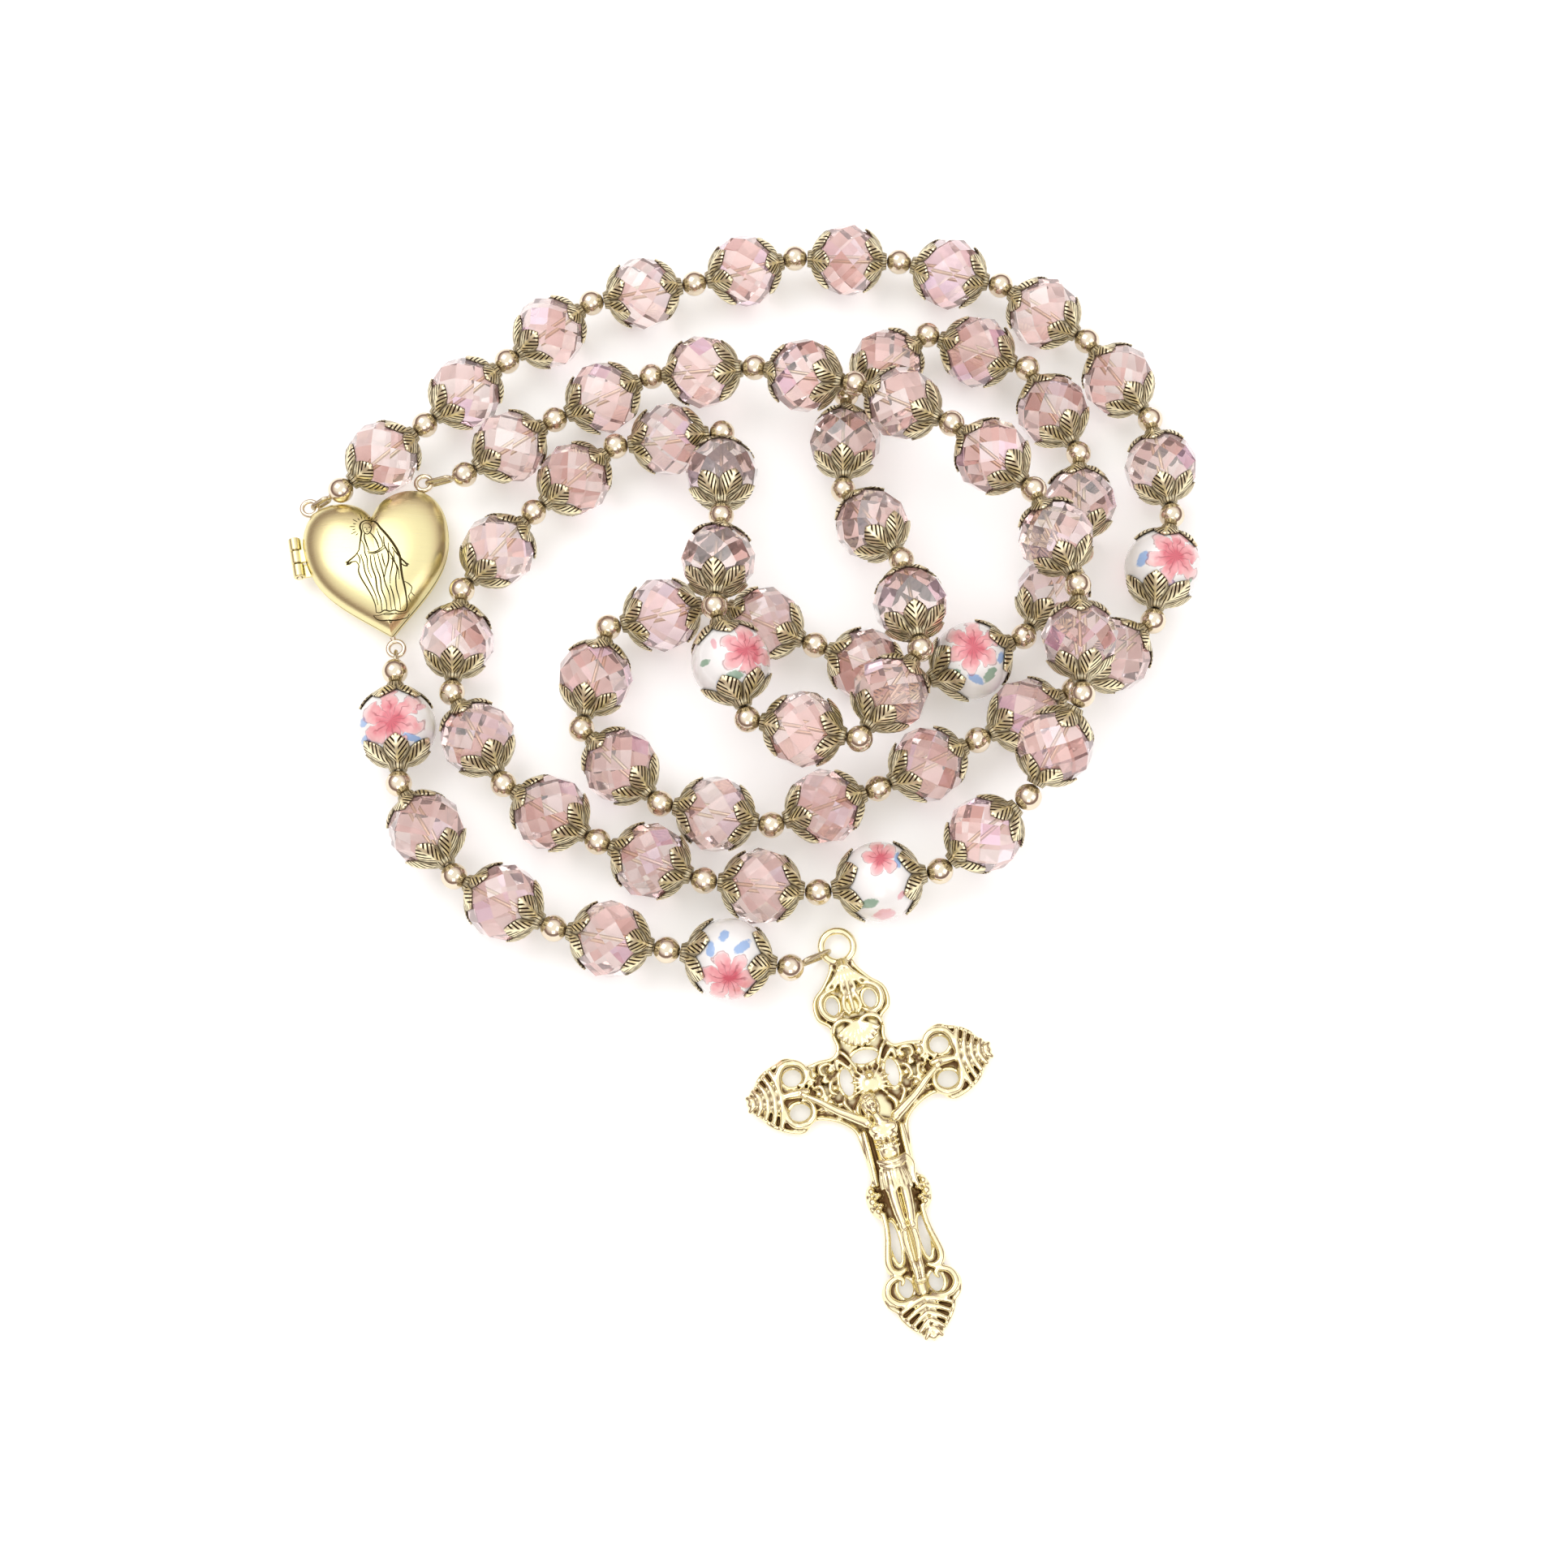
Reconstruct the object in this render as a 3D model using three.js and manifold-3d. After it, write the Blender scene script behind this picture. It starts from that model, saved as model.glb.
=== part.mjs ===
// Rosary with five decades of crystal beads, ceramic beads between them, a heart locket as the centrepiece,
// and a drop of five beads that ends in a filigree crucifix. It lies on the plane z = 0. Sizes in millimetres.
// +X to the right, +Y towards the top of the loop, +Z up. The origin is at the middle of the footprint.
import * as THREE from 'three';
import { mergeVertices } from 'three/addons/utils/BufferGeometryUtils.js';
import Module from 'manifold-3d';

const wasm = await Module();
wasm.setup();

// ---- driving dimensions ----
const wireRadius = 0.25;
const wireSides = 6;
const ballRadius = 1.5;
const beadBore = 0.6;
const clearance = 0.15;
const crystalBead = { radius: 4.75, halfLength: 4.3, link: 13.75, sides: 10 };
const ceramicBead = { radius: 5.0, halfLength: 4.85, link: 14.8, sides: 10 };
const cap = { wall: 0.35, collar: 0.95, rim: 2.5 };
const beadsInDecade = 10;
const firstBallFromEyelet = 4.8;

const locket = { x: -46.6, y: 23.4, turn: 12, halfHeight: 3.0, halfGap: 0.15 };
const heart = { halfWidth: 9.2, tip: -9.6, cleft: 7.0, lobe: 9.8 };
const hinge = { x: -10.2, y: 3.6, outer: 0.75, bore: 0.42, pin: 0.3, knuckle: 1.7, gap: 0.15, leaf: 0.35 };
const picture = { inset: 0.86, plate: 0.4, rim: 0.9, ledge: 0.72 };
const eyelet = { ringRadius: 1.0, tubeRadius: 0.32 };

const cross = { x: 10.8, y: -25.5, turn: 12.3, thickness: 1.6 };
const eye = { ringRadius: 1.95, tubeRadius: 0.45, height: 1.3 };
const endLoop = { bend: 0.86 };

// Route of the loop's wire, from the locket's left eyelet round all five decades to its right eyelet.
const loopRoute = [
  [-56.1, 31.8, 3.0], [-52.2, 33.3, 4.8], [-21.4, 60.1, 5.1], [-8.0, 63.2, 5.1], [5.1, 67.2, 5.1],
  [32.3, 63.4, 5.1], [51.3, 43.8, 5.1], [50.5, 15.6, 5.1], [28.0, -0.5, 5.1], [3.2, -11.3, 5.1],
  [-10.3, -8.8, 5.1], [-20.3, 0.7, 5.1], [-17.6, 14.3, 5.1], [-4.4, 18.1, 4.8], [20.5, 6.8, 5.0],
  [33.9, 13.0, 5.1], [41.7, 24.4, 5.1], [42.1, 38.1, 5.2], [36.1, 50.6, 5.2], [23.3, 55.7, 5.2],
  [12.5, 47.1, 5.1], [11.9, 33.3, 5.4], [19.0, 21.8, 8.9], [20.8, 8.4, 12.2], [13.0, -3.0, 12.0],
  [-0.3, 0.4, 10.8], [-4.1, 14.8, 12.0], [-3.7, 41.5, 5.8], [-17.2, 39.5, 5.2], [-35.9, 19.5, 5.1],
  [-36.5, 5.8, 5.1], [-29.6, -6.2, 5.1], [-5.1, -18.4, 5.2], [23.4, -17.1, 5.4], [39.8, 2.0, 14.2],
  [35.0, 28.5, 14.9], [13.0, 45.0, 11.8], [-13.2, 49.4, 5.3], [-37.4, 34.9, 5.1], [-41.8, 35.4, 3.0],
];

// Route of the drop's wire, from the ball under the locket to the ball above the crucifix.
const dropRoute = [
  [-43.7, 8.6, 4.9], [-42.4, -6.0, 5.2], [-35.1, -17.8, 5.1], [-22.9, -24.3, 5.1], [-9.4, -27.0, 5.3],
  [5.3, -29.0, 4.8],
];

// ---- finishes ----
const finish = {
  crystal: { color: 0xe3c3c4, roughness: 0.08, metalness: 0.0 },
  ceramic: { color: 0xf3efec, roughness: 0.18, metalness: 0.0 },
  antiqueGold: { color: 0xa58f62, roughness: 0.4, metalness: 1.0 },
  paleGold: { color: 0xd9c98f, roughness: 0.28, metalness: 1.0 },
  satinGold: { color: 0xe0d29a, roughness: 0.35, metalness: 1.0 },
  wire: { color: 0xa3916a, roughness: 0.35, metalness: 1.0 },
};
const materials = Object.fromEntries(
  Object.entries(finish).map(([name, values]) => [name, new THREE.MeshStandardMaterial(values)]),
);

const rosary = new THREE.Group();

function addPart(name, geometry, material, parent = rosary) {
  const mesh = new THREE.Mesh(geometry, materials[material]);
  mesh.name = name;
  parent.add(mesh);
  return mesh;
}

// ---- solids ----
// A closed geometry as a solid that can be joined and cut.
function toSolid(geometry, matrix) {
  const bare = new THREE.BufferGeometry();
  bare.setAttribute('position', geometry.getAttribute('position').clone());
  if (geometry.index) bare.setIndex(geometry.index.clone());
  if (matrix) bare.applyMatrix4(matrix);
  const merged = mergeVertices(bare, 1e-4);
  const triangles = [];
  for (let i = 0; i < merged.index.count; i += 3) {
    const [a, b, c] = [0, 1, 2].map((k) => merged.index.getX(i + k));
    if (a !== b && b !== c && c !== a) triangles.push(a, b, c);
  }
  return new wasm.Manifold(new wasm.Mesh({
    numProp: 3,
    vertProperties: new Float32Array(merged.getAttribute('position').array),
    triVerts: new Uint32Array(triangles),
  }));
}

function toGeometry(solid) {
  const mesh = solid.getMesh();
  const geometry = new THREE.BufferGeometry();
  geometry.setAttribute('position', new THREE.BufferAttribute(new Float32Array(mesh.vertProperties), 3));
  geometry.setIndex(new THREE.BufferAttribute(new Uint32Array(mesh.triVerts), 1));
  geometry.computeVertexNormals();
  return geometry;
}

function joined(solids) {
  return solids.reduce((whole, solid) => whole.add(solid));
}

// A closed body through a stack of outlines with equal point counts, closed by a fan at both ends.
function loft(outlines) {
  const count = outlines[0].length;
  const points = outlines.flat();
  const middles = [outlines[0], outlines.at(-1)].map((outline) =>
    outline.reduce((sum, p) => sum.add(p), new THREE.Vector3()).divideScalar(count));
  const triangles = [];
  for (let row = 0; row < outlines.length - 1; row += 1) {
    for (let i = 0; i < count; i += 1) {
      const a = row * count + i;
      const b = row * count + ((i + 1) % count);
      triangles.push(a, b, b + count, a, b + count, a + count);
    }
  }
  const last = (outlines.length - 1) * count;
  for (let i = 0; i < count; i += 1) {
    const next = (i + 1) % count;
    triangles.push(points.length, next, i, points.length + 1, last + i, last + next);
  }
  const geometry = new THREE.BufferGeometry().setFromPoints([...points, ...middles]);
  geometry.setIndex(triangles);
  geometry.computeVertexNormals();
  return geometry;
}

// A turned body: profile points [radius, height], turned about Y.
function turned(profile, sides) {
  return new THREE.LatheGeometry(profile.map(([r, y]) => new THREE.Vector2(r, y)), sides);
}

// Place of a body whose own Y runs from one point to another, centred between them.
function between(from, to) {
  const along = new THREE.Vector3().subVectors(to, from).normalize();
  const turn = new THREE.Quaternion().setFromUnitVectors(new THREE.Vector3(0, 1, 0), along);
  const middle = new THREE.Vector3().addVectors(from, to).multiplyScalar(0.5);
  return new THREE.Matrix4().compose(middle, turn, new THREE.Vector3(1, 1, 1));
}

function placed(mesh, matrix) {
  matrix.decompose(mesh.position, mesh.quaternion, mesh.scale);
  return mesh;
}

// ---- the run of beads along a route ----
function routeLine(route) {
  const points = route.map((p) => new THREE.Vector3(...p));
  const curve = new THREE.CatmullRomCurve3(points, false, 'catmullrom', 0.5);
  return curve.getPoints((points.length - 1) * 24);
}

// Points that follow a line, each at its own straight distance from the one before.
function steppedAlong(line, distances) {
  const stops = [line[0]];
  let next = 1;
  for (const distance of distances) {
    const here = stops.at(-1);
    while (next < line.length - 1 && line[next].distanceTo(here) < distance) next += 1;
    let near = line[next - 1].clone();
    let far = line[next].clone();
    for (let k = 0; k < 30; k += 1) {
      const middle = near.clone().lerp(far, 0.5);
      if (middle.distanceTo(here) < distance) near = middle;
      else far = middle;
    }
    stops.push(far);
  }
  return stops;
}

const linkKinds = Array.from({ length: 5 * beadsInDecade + 4 }, (_, i) =>
  ((i + 1) % (beadsInDecade + 1) === 0 ? ceramicBead : crystalBead));
const loopLine = routeLine(loopRoute);
const loopStops = steppedAlong(loopLine, [firstBallFromEyelet, ...linkKinds.map((kind) => kind.link)]);
const loopBalls = loopStops.slice(1);

// ---- beads, caps and balls ----
function ballGeometry(sides) {
  const bands = sides / 2;
  const profile = Array.from({ length: bands + 1 }, (_, i) => {
    const angle = -Math.PI / 2 + (i * Math.PI) / bands;
    return [i % bands === 0 ? 0 : ballRadius * Math.cos(angle), ballRadius * Math.sin(angle)];
  });
  return turned(profile, sides);
}

function radiusAt(kind, height) {
  return Math.sqrt(kind.radius ** 2 - height ** 2);
}

// A bored bead with flat ends.
function beadGeometry(kind) {
  const end = kind.halfLength;
  const flat = Math.max(radiusAt(kind, end), beadBore + 0.3);
  const heights = [-3.2, 0, 3.2];
  const side = heights.map((y) => [radiusAt(kind, y), y]);
  const profile = [[beadBore, -end], [flat, -end], ...side, [flat, end], [beadBore, end], [beadBore, -end]];
  return turned(profile, kind.sides);
}

// A cupped cap over one end of a bead, with a small collar against the ball. It opens towards -Y.
function capGeometry(kind) {
  const end = kind.halfLength + clearance;
  const collarEnd = kind.link / 2 - ballRadius - clearance / 2;
  const loose = 0.24;
  const inner = [
    [radiusAt(kind, cap.rim) + loose, cap.rim],
    [radiusAt(kind, 3.6) + loose, 3.6],
    [radiusAt(kind, kind.halfLength) + 0.3, end],
  ];
  const outer = inner.map(([r, y], i) => [r + cap.wall * (i === 2 ? 0.4 : 0.8), y + (i === 0 ? 0 : cap.wall * 0.6)]);
  const profile = [
    [beadBore, end], ...inner.toReversed(), ...outer, [cap.collar, collarEnd], [beadBore, collarEnd], [beadBore, end],
  ];
  return turned(profile, kind.sides);
}

// One crystal with its two caps and the ends of its wire, as one body that reaches into the balls beside it.
function crystalUnit() {
  const reach = crystalBead.link / 2 - ballRadius * 0.6;
  const half = [[4.75, 0], [4.1, 2.7], [cap.collar + 0.3, 5.1], [0, reach]];
  const profile = [...half.slice(1).reverse().map(([r, y]) => [r, -y]), ...half];
  return turned(profile, 8);
}

// ---- one decade: ten crystals, their caps and eleven balls, strung on one stretch of wire ----
function decadeGeometry(balls, wireEnd) {
  const unit = crystalUnit();
  const ballShape = ballGeometry(6);
  const solids = balls.map((at) => toSolid(ballShape, new THREE.Matrix4().makeTranslation(at)));
  for (let i = 0; i < balls.length - 1; i += 1) {
    solids.push(toSolid(unit, between(balls[i], balls[i + 1])));
  }
  if (wireEnd) {
    const stub = new THREE.CylinderGeometry(wireRadius, wireRadius, balls.at(-1).distanceTo(wireEnd), wireSides);
    solids.push(toSolid(stub, between(balls.at(-1), wireEnd)));
  }
  return toGeometry(joined(solids));
}

function addCappedBead(name, kind, material, from, to) {
  const frame = between(from, to);
  placed(addPart(`${name}_bead`, beadGeometry(kind), material), frame);
  placed(addPart(`${name}_cap_a`, capGeometry(kind), 'antiqueGold'), frame).rotateX(Math.PI);
  placed(addPart(`${name}_cap_b`, capGeometry(kind), 'antiqueGold'), frame);
}

function buildLoop() {
  const step = beadsInDecade + 1;
  for (let decade = 0; decade < 5; decade += 1) {
    const first = decade * step;
    const balls = loopBalls.slice(first, first + step);
    const next = loopBalls[first + step];
    const wireEnd = next && balls.at(-1).clone().lerp(next, 1 - (ballRadius + clearance) / ceramicBead.link);
    addPart(`decade_${decade + 1}_strand`, decadeGeometry(balls, wireEnd), 'crystal');
    if (next) addCappedBead(`pater_${decade + 1}`, ceramicBead, 'ceramic', balls.at(-1), next);
  }
}

// ---- closed loops of wire that hook the strands to their eyelets ----
// A loop with straight sides from a ball to the wall of an eyelet, standing upright between them.
function addWireLoop(name, ballAt, eyeletAt, eyeletRadius, bend) {
  const flat = new THREE.Vector3().subVectors(ballAt, eyeletAt).setZ(0).normalize();
  const wall = eyeletAt.clone().addScaledVector(flat, eyeletRadius);
  const along = new THREE.Vector3().subVectors(wall, ballAt).normalize();
  const start = ballAt.clone().addScaledVector(along, ballRadius + clearance + bend + wireRadius);
  const stretch = wall.distanceTo(start);
  const loop = new THREE.TorusGeometry(bend, wireRadius, wireSides, 14);
  const place = loop.getAttribute('position');
  const middle = new THREE.Vector3();
  for (let i = 0; i < place.count; i += 1) {
    middle.fromBufferAttribute(place, i);
    if (middle.x > 1e-4) place.setX(i, middle.x + stretch);
  }
  const side = new THREE.Vector3(0, 0, 1).addScaledVector(along, -along.z).normalize();
  const frame = new THREE.Matrix4().makeBasis(along, side, new THREE.Vector3().crossVectors(along, side));
  placed(addPart(name, loop, 'wire'), frame.setPosition(start));
}

// ---- the locket ----
const locketGroup = new THREE.Group();
locketGroup.position.set(locket.x, locket.y, 0);
locketGroup.rotation.z = THREE.MathUtils.degToRad(locket.turn);
rosary.add(locketGroup);
rosary.updateMatrixWorld(true);

function heartShape() {
  const { halfWidth: w, tip, cleft, lobe } = heart;
  const shape = new THREE.Shape();
  shape.moveTo(0, tip);
  shape.bezierCurveTo(w * 0.5, tip + 4.4, w, -2.4, w, lobe * 0.42);
  shape.bezierCurveTo(w, lobe * 0.74, w * 0.83, lobe * 0.99, w * 0.53, lobe);
  shape.bezierCurveTo(w * 0.34, lobe, w * 0.13, lobe * 0.95, 0, cleft);
  shape.bezierCurveTo(-w * 0.13, lobe * 0.95, -w * 0.34, lobe, -w * 0.53, lobe);
  shape.bezierCurveTo(-w * 0.83, lobe * 0.99, -w, lobe * 0.74, -w, lobe * 0.42);
  shape.bezierCurveTo(-w, -2.4, -w * 0.5, tip + 4.4, 0, tip);
  return shape;
}

const heartPoints = heartShape().getPoints(4).slice(0, -1);

// The heart outline, drawn in by a scale, at a height above (+1) or below (-1) the parting plane.
function heartAt([rise, scale], face) {
  return heartPoints.map((p) => new THREE.Vector3(p.x * scale, p.y * scale, locket.halfHeight + face * rise));
}

function heartBody(levels, face) {
  const outlines = levels.map((level) => heartAt(level, face));
  return loft(face > 0 ? outlines : outlines.reverse());
}

// Half of the case: domed outside, hollow inside, [rise from the parting plane, scale of the outline].
const shellInside = [[2.45, 0.42], [1.95, 0.72], [1.2, 0.87], [locket.halfGap, 0.93]];
const shellOutside = [[locket.halfGap, 1], [0.9, 0.985], [1.9, 0.9], [2.65, 0.74], [locket.halfHeight, 0.45]];

// One knuckle of the hinge with the leaf that joins it to its half of the case.
function knuckleSolid(y, face) {
  const { x, outer, bore, knuckle, leaf } = hinge;
  const half = knuckle / 2;
  const tube = turned([[bore, -half], [outer, -half], [outer, half], [bore, half], [bore, -half]], 10);
  const leafWidth = -heart.halfWidth + 0.7 - (x + bore + 0.1);
  const box = new THREE.BoxGeometry(leafWidth, knuckle, leaf);
  const leafX = x + bore + 0.1 + leafWidth / 2;
  const leafZ = locket.halfHeight + face * (locket.halfGap + leaf / 2);
  return toSolid(tube, new THREE.Matrix4().makeTranslation(x, y, locket.halfHeight))
    .add(toSolid(box, new THREE.Matrix4().makeTranslation(leafX, y, leafZ)));
}

function addCaseHalf(name, face, knuckles) {
  const shell = toSolid(heartBody([...shellInside, ...shellOutside], face));
  const pitch = hinge.knuckle + hinge.gap;
  const parts = knuckles.map((place) => knuckleSolid(hinge.y + place * pitch, face));
  addPart(name, toGeometry(joined([shell, ...parts])), 'satinGold', locketGroup);
}

// A heart-shaped tray that holds a picture, with its rim towards the parting plane.
function addPictureFrame(name, face) {
  const { inset, plate, rim, ledge } = picture;
  const top = locket.halfGap + 0.2;
  const levels = [[top + rim - plate, ledge], [top, ledge], [top, inset], [top + rim, inset]];
  addPart(name, heartBody(levels, face), 'paleGold', locketGroup);
}

const eyeletPlaces = {
  left: new THREE.Vector3(-7.6, 10.2, locket.halfHeight),
  right: new THREE.Vector3(7.2, 10.7, locket.halfHeight),
  drop: new THREE.Vector3(0.2, -11.25, locket.halfHeight),
};

// A small ring with the stem that fixes it to the edge of the case.
function addEyelet(side) {
  const centre = eyeletPlaces[side];
  const ring = new THREE.TorusGeometry(eyelet.ringRadius, eyelet.tubeRadius, 6, 12);
  const edge = heartPoints.map((p) => new THREE.Vector3(p.x, p.y, locket.halfHeight))
    .reduce((best, p) => (p.distanceTo(centre) < best.distanceTo(centre) ? p : best));
  const towards = new THREE.Vector3().subVectors(edge, centre).normalize();
  const from = centre.clone().addScaledVector(towards, eyelet.ringRadius);
  const to = edge.clone().addScaledVector(towards, -clearance);
  const stem = new THREE.CylinderGeometry(eyelet.tubeRadius, eyelet.tubeRadius, from.distanceTo(to), 6);
  const whole = toSolid(ring, new THREE.Matrix4().makeTranslation(centre)).add(toSolid(stem, between(from, to)));
  addPart(`locket_ring_${side}`, toGeometry(whole), 'paleGold', locketGroup);
}

function eyeletWorld(side) {
  return locketGroup.localToWorld(eyeletPlaces[side].clone());
}

function buildLocket() {
  addCaseHalf('locket_back_shell', -1, [-1, 1]);
  addCaseHalf('locket_front_cover', 1, [0]);
  addPictureFrame('locket_back_picture_frame', -1);
  addPictureFrame('locket_front_picture_frame', 1);
  const pinLength = 3 * hinge.knuckle + 2 * hinge.gap + 0.2;
  const pin = addPart('locket_hinge_pin', new THREE.CylinderGeometry(hinge.pin, hinge.pin, pinLength, 8), 'paleGold',
    locketGroup);
  pin.position.set(hinge.x, hinge.y, locket.halfHeight);
  ['left', 'right', 'drop'].forEach(addEyelet);
}

// ---- the drop: balls, wires between them and capped beads, each link free to turn at its balls ----
const dropKinds = [ceramicBead, crystalBead, crystalBead, crystalBead, ceramicBead];
const dropNames = ['drop_pater_1', 'drop_crystal_1', 'drop_crystal_2', 'drop_crystal_3', 'drop_pater_2'];
const dropBalls = steppedAlong(routeLine(dropRoute), dropKinds.map((kind) => kind.link));

function buildDrop() {
  dropBalls.forEach((at, i) => {
    addPart(`drop_ball_${i + 1}`, ballGeometry(8), 'paleGold').position.copy(at);
  });
  dropKinds.forEach((kind, i) => {
    const [from, to] = [dropBalls[i], dropBalls[i + 1]];
    const length = kind.link - 2 * (ballRadius + clearance);
    const wire = addPart(`drop_wire_${i + 1}`, new THREE.CylinderGeometry(wireRadius, wireRadius, length, wireSides),
      'wire');
    placed(wire, between(from, to));
    addCappedBead(dropNames[i], kind, kind === ceramicBead ? 'ceramic' : 'crystal', from, to);
  });
}

// ---- the crucifix: x across, y up from the eye, z through the thickness ----
const crossGroup = new THREE.Group();
crossGroup.position.set(cross.x, cross.y, 0);
crossGroup.rotation.z = THREE.MathUtils.degToRad(cross.turn);
rosary.add(crossGroup);
rosary.updateMatrixWorld(true);

// Right half of the outline from the eye down to the foot.
const crossEdge = [
  [1.2, -1.6], [2.4, -4.4], [4.4, -5.9], [5.1, -7.4], [4.8, -9.2], [3.2, -9.9], [3.4, -11.4], [3.2, -12.6],
  [5.4, -13.6], [7.6, -13.0], [8.6, -12.2], [10.4, -11.9], [12.4, -12.9], [14.2, -14.6], [15.3, -16.3],
  [14.2, -18.0], [12.4, -19.7], [10.4, -20.7], [8.6, -20.4], [7.6, -19.6], [5.4, -19.0], [3.4, -20.4],
  [2.8, -23.5], [2.6, -28.2], [4.0, -28.9], [4.5, -30.4], [4.2, -32.0], [3.1, -32.6], [3.2, -34.4],
  [3.8, -36.4], [3.1, -38.4], [4.4, -38.9], [5.0, -40.4], [4.5, -42.2], [4.3, -43.6], [3.2, -44.9], [1.6, -46.2],
];
const crossFoot = -47.2;

// Openings of the right half: [x, y, half width, half height]; the middle one stands alone.
const sideOpenings = [
  [2.5, -7.2, 0.75, 1.05], [3.4, -16.2, 0.75, 1.5], [9.6, -14.2, 1.25, 0.95], [9.6, -18.4, 1.25, 0.95],
  [2.3, -35.4, 0.5, 2.3], [2.0, -40.2, 0.8, 1.2],
];
const middleOpening = [0, -13.6, 1.5, 0.75];

function crossShape() {
  const right = crossEdge.map(([x, y]) => new THREE.Vector2(x, y));
  const left = crossEdge.map(([x, y]) => new THREE.Vector2(-x, y)).reverse();
  const shape = new THREE.Shape([...left, ...right, new THREE.Vector2(0, crossFoot)].reverse());
  const mirrored = sideOpenings.map(([x, ...rest]) => [-x, ...rest]);
  for (const [x, y, a, b] of [middleOpening, ...sideOpenings, ...mirrored]) {
    shape.holes.push(new THREE.Path().absellipse(x, y, a, b, 0, Math.PI * 2));
  }
  return shape;
}

function crossGeometry() {
  const plate = new THREE.ExtrudeGeometry(crossShape(), {
    depth: cross.thickness, bevelEnabled: false, curveSegments: 6,
  });
  const ring = new THREE.TorusGeometry(eye.ringRadius, eye.tubeRadius, 6, 16);
  return toGeometry(toSolid(plate).add(toSolid(ring, new THREE.Matrix4().makeTranslation(0, 0, eye.height))));
}

// The figure, in front of the cross: a head, a trunk, a loincloth, arms raised in a shallow V and joined legs.
const figureBack = cross.thickness + 0.3;
const figure = {
  head: { at: [-0.4, -18.2, 3.3], size: [0.95, 1.2, 1.05] },
  trunk: { at: [0.1, -22.3, 2.9], size: [1.9, 2.9, 1.0] },
  cloth: { at: [0.3, -26.2, 2.9], size: [1.6, 1.8, 1.0] },
  feet: { at: [0.2, -38.2, 2.5], size: [0.75, 1.1, 0.55] },
  shoulder: [1.3, -20.6, 2.75],
  hand: [8.4, -16.0, 2.45],
  armRadius: [0.42, 0.62],
};

function rounded({ at, size }, sides = 8) {
  const round = new THREE.SphereGeometry(1, sides, 6);
  const place = new THREE.Matrix4().makeTranslation(...at).scale(new THREE.Vector3(...size));
  return toSolid(round, place);
}

function armSolid(side) {
  const mirrored = ([x, y, z]) => new THREE.Vector3(side * x, y, z);
  const [from, to] = [mirrored(figure.shoulder), mirrored(figure.hand)];
  const arm = new THREE.CylinderGeometry(...figure.armRadius, from.distanceTo(to), 6);
  return toSolid(arm, between(from, to));
}

function corpusGeometry() {
  const { head, trunk, cloth, feet } = figure;
  const neck = { at: [-0.2, -19.6, 3.0], size: [0.6, 1.1, 0.6] };
  const legs = new THREE.CylinderGeometry(1.35, 0.62, 11.6, 8);
  const legPlace = new THREE.Matrix4().makeTranslation(0.3, -32.2, 2.75).scale(new THREE.Vector3(1, 1, 0.62));
  const solids = [head, neck, trunk, cloth, feet].map((part) => rounded(part));
  const behind = new THREE.BoxGeometry(40, 60, 10);
  const trim = toSolid(behind, new THREE.Matrix4().makeTranslation(0, -28, figureBack - 5));
  return toGeometry(joined([...solids, toSolid(legs, legPlace), armSolid(-1), armSolid(1)]).subtract(trim));
}

function buildCrucifix() {
  addPart('crucifix_cross', crossGeometry(), 'paleGold', crossGroup);
  addPart('crucifix_corpus', corpusGeometry(), 'paleGold', crossGroup);
}

buildLoop();
buildLocket();
buildDrop();
buildCrucifix();

const hookBend = eyelet.tubeRadius + wireRadius + 0.06;
addWireLoop('wire_guard_left', loopBalls[0], eyeletWorld('left'), eyelet.ringRadius, hookBend);
addWireLoop('wire_guard_right', loopBalls.at(-1), eyeletWorld('right'), eyelet.ringRadius, hookBend);
addWireLoop('drop_loop_top', dropBalls[0], eyeletWorld('drop'), eyelet.ringRadius, hookBend);
addWireLoop('drop_loop_end', dropBalls.at(-1), new THREE.Vector3(cross.x, cross.y, eye.height), eye.ringRadius,
  endLoop.bend);

export default rosary;
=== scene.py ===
import math
import random

import bmesh
import bpy
import numpy as np
from mathutils import Matrix, Quaternion, Vector
from mathutils.bvhtree import BVHTree


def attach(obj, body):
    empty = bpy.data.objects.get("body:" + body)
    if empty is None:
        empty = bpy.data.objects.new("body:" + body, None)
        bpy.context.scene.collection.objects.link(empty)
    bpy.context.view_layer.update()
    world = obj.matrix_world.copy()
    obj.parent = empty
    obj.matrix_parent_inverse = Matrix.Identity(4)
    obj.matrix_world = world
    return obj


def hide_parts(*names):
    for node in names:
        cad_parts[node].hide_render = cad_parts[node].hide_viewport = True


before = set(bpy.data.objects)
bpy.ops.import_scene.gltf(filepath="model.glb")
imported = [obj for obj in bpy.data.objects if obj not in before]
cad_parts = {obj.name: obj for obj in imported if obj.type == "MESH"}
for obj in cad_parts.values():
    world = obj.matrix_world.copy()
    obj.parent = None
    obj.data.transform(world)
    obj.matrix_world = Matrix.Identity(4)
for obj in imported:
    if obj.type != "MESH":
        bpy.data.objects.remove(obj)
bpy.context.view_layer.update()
scene = bpy.context.scene
mm = 0.001

view = {"aim": (0.0044, -0.0061, 0.005), "elevation": 71, "distance": 0.276, "lens": 52.17, "sensor": 36,
        "near": 0.01, "far": 20}


def makeCamera():
    data = bpy.data.cameras.new("camera")
    data.lens = view["lens"]
    data.sensor_width = view["sensor"]
    data.clip_start, data.clip_end = view["near"], view["far"]
    camera = bpy.data.objects.new("camera", data)
    scene.collection.objects.link(camera)
    rise = math.radians(view["elevation"])
    camera.location = Vector(view["aim"]) + view["distance"] * Vector((0, -math.cos(rise), math.sin(rise)))
    camera.rotation_euler = (math.pi / 2 - rise, 0, 0)
    scene.camera = camera


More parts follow.
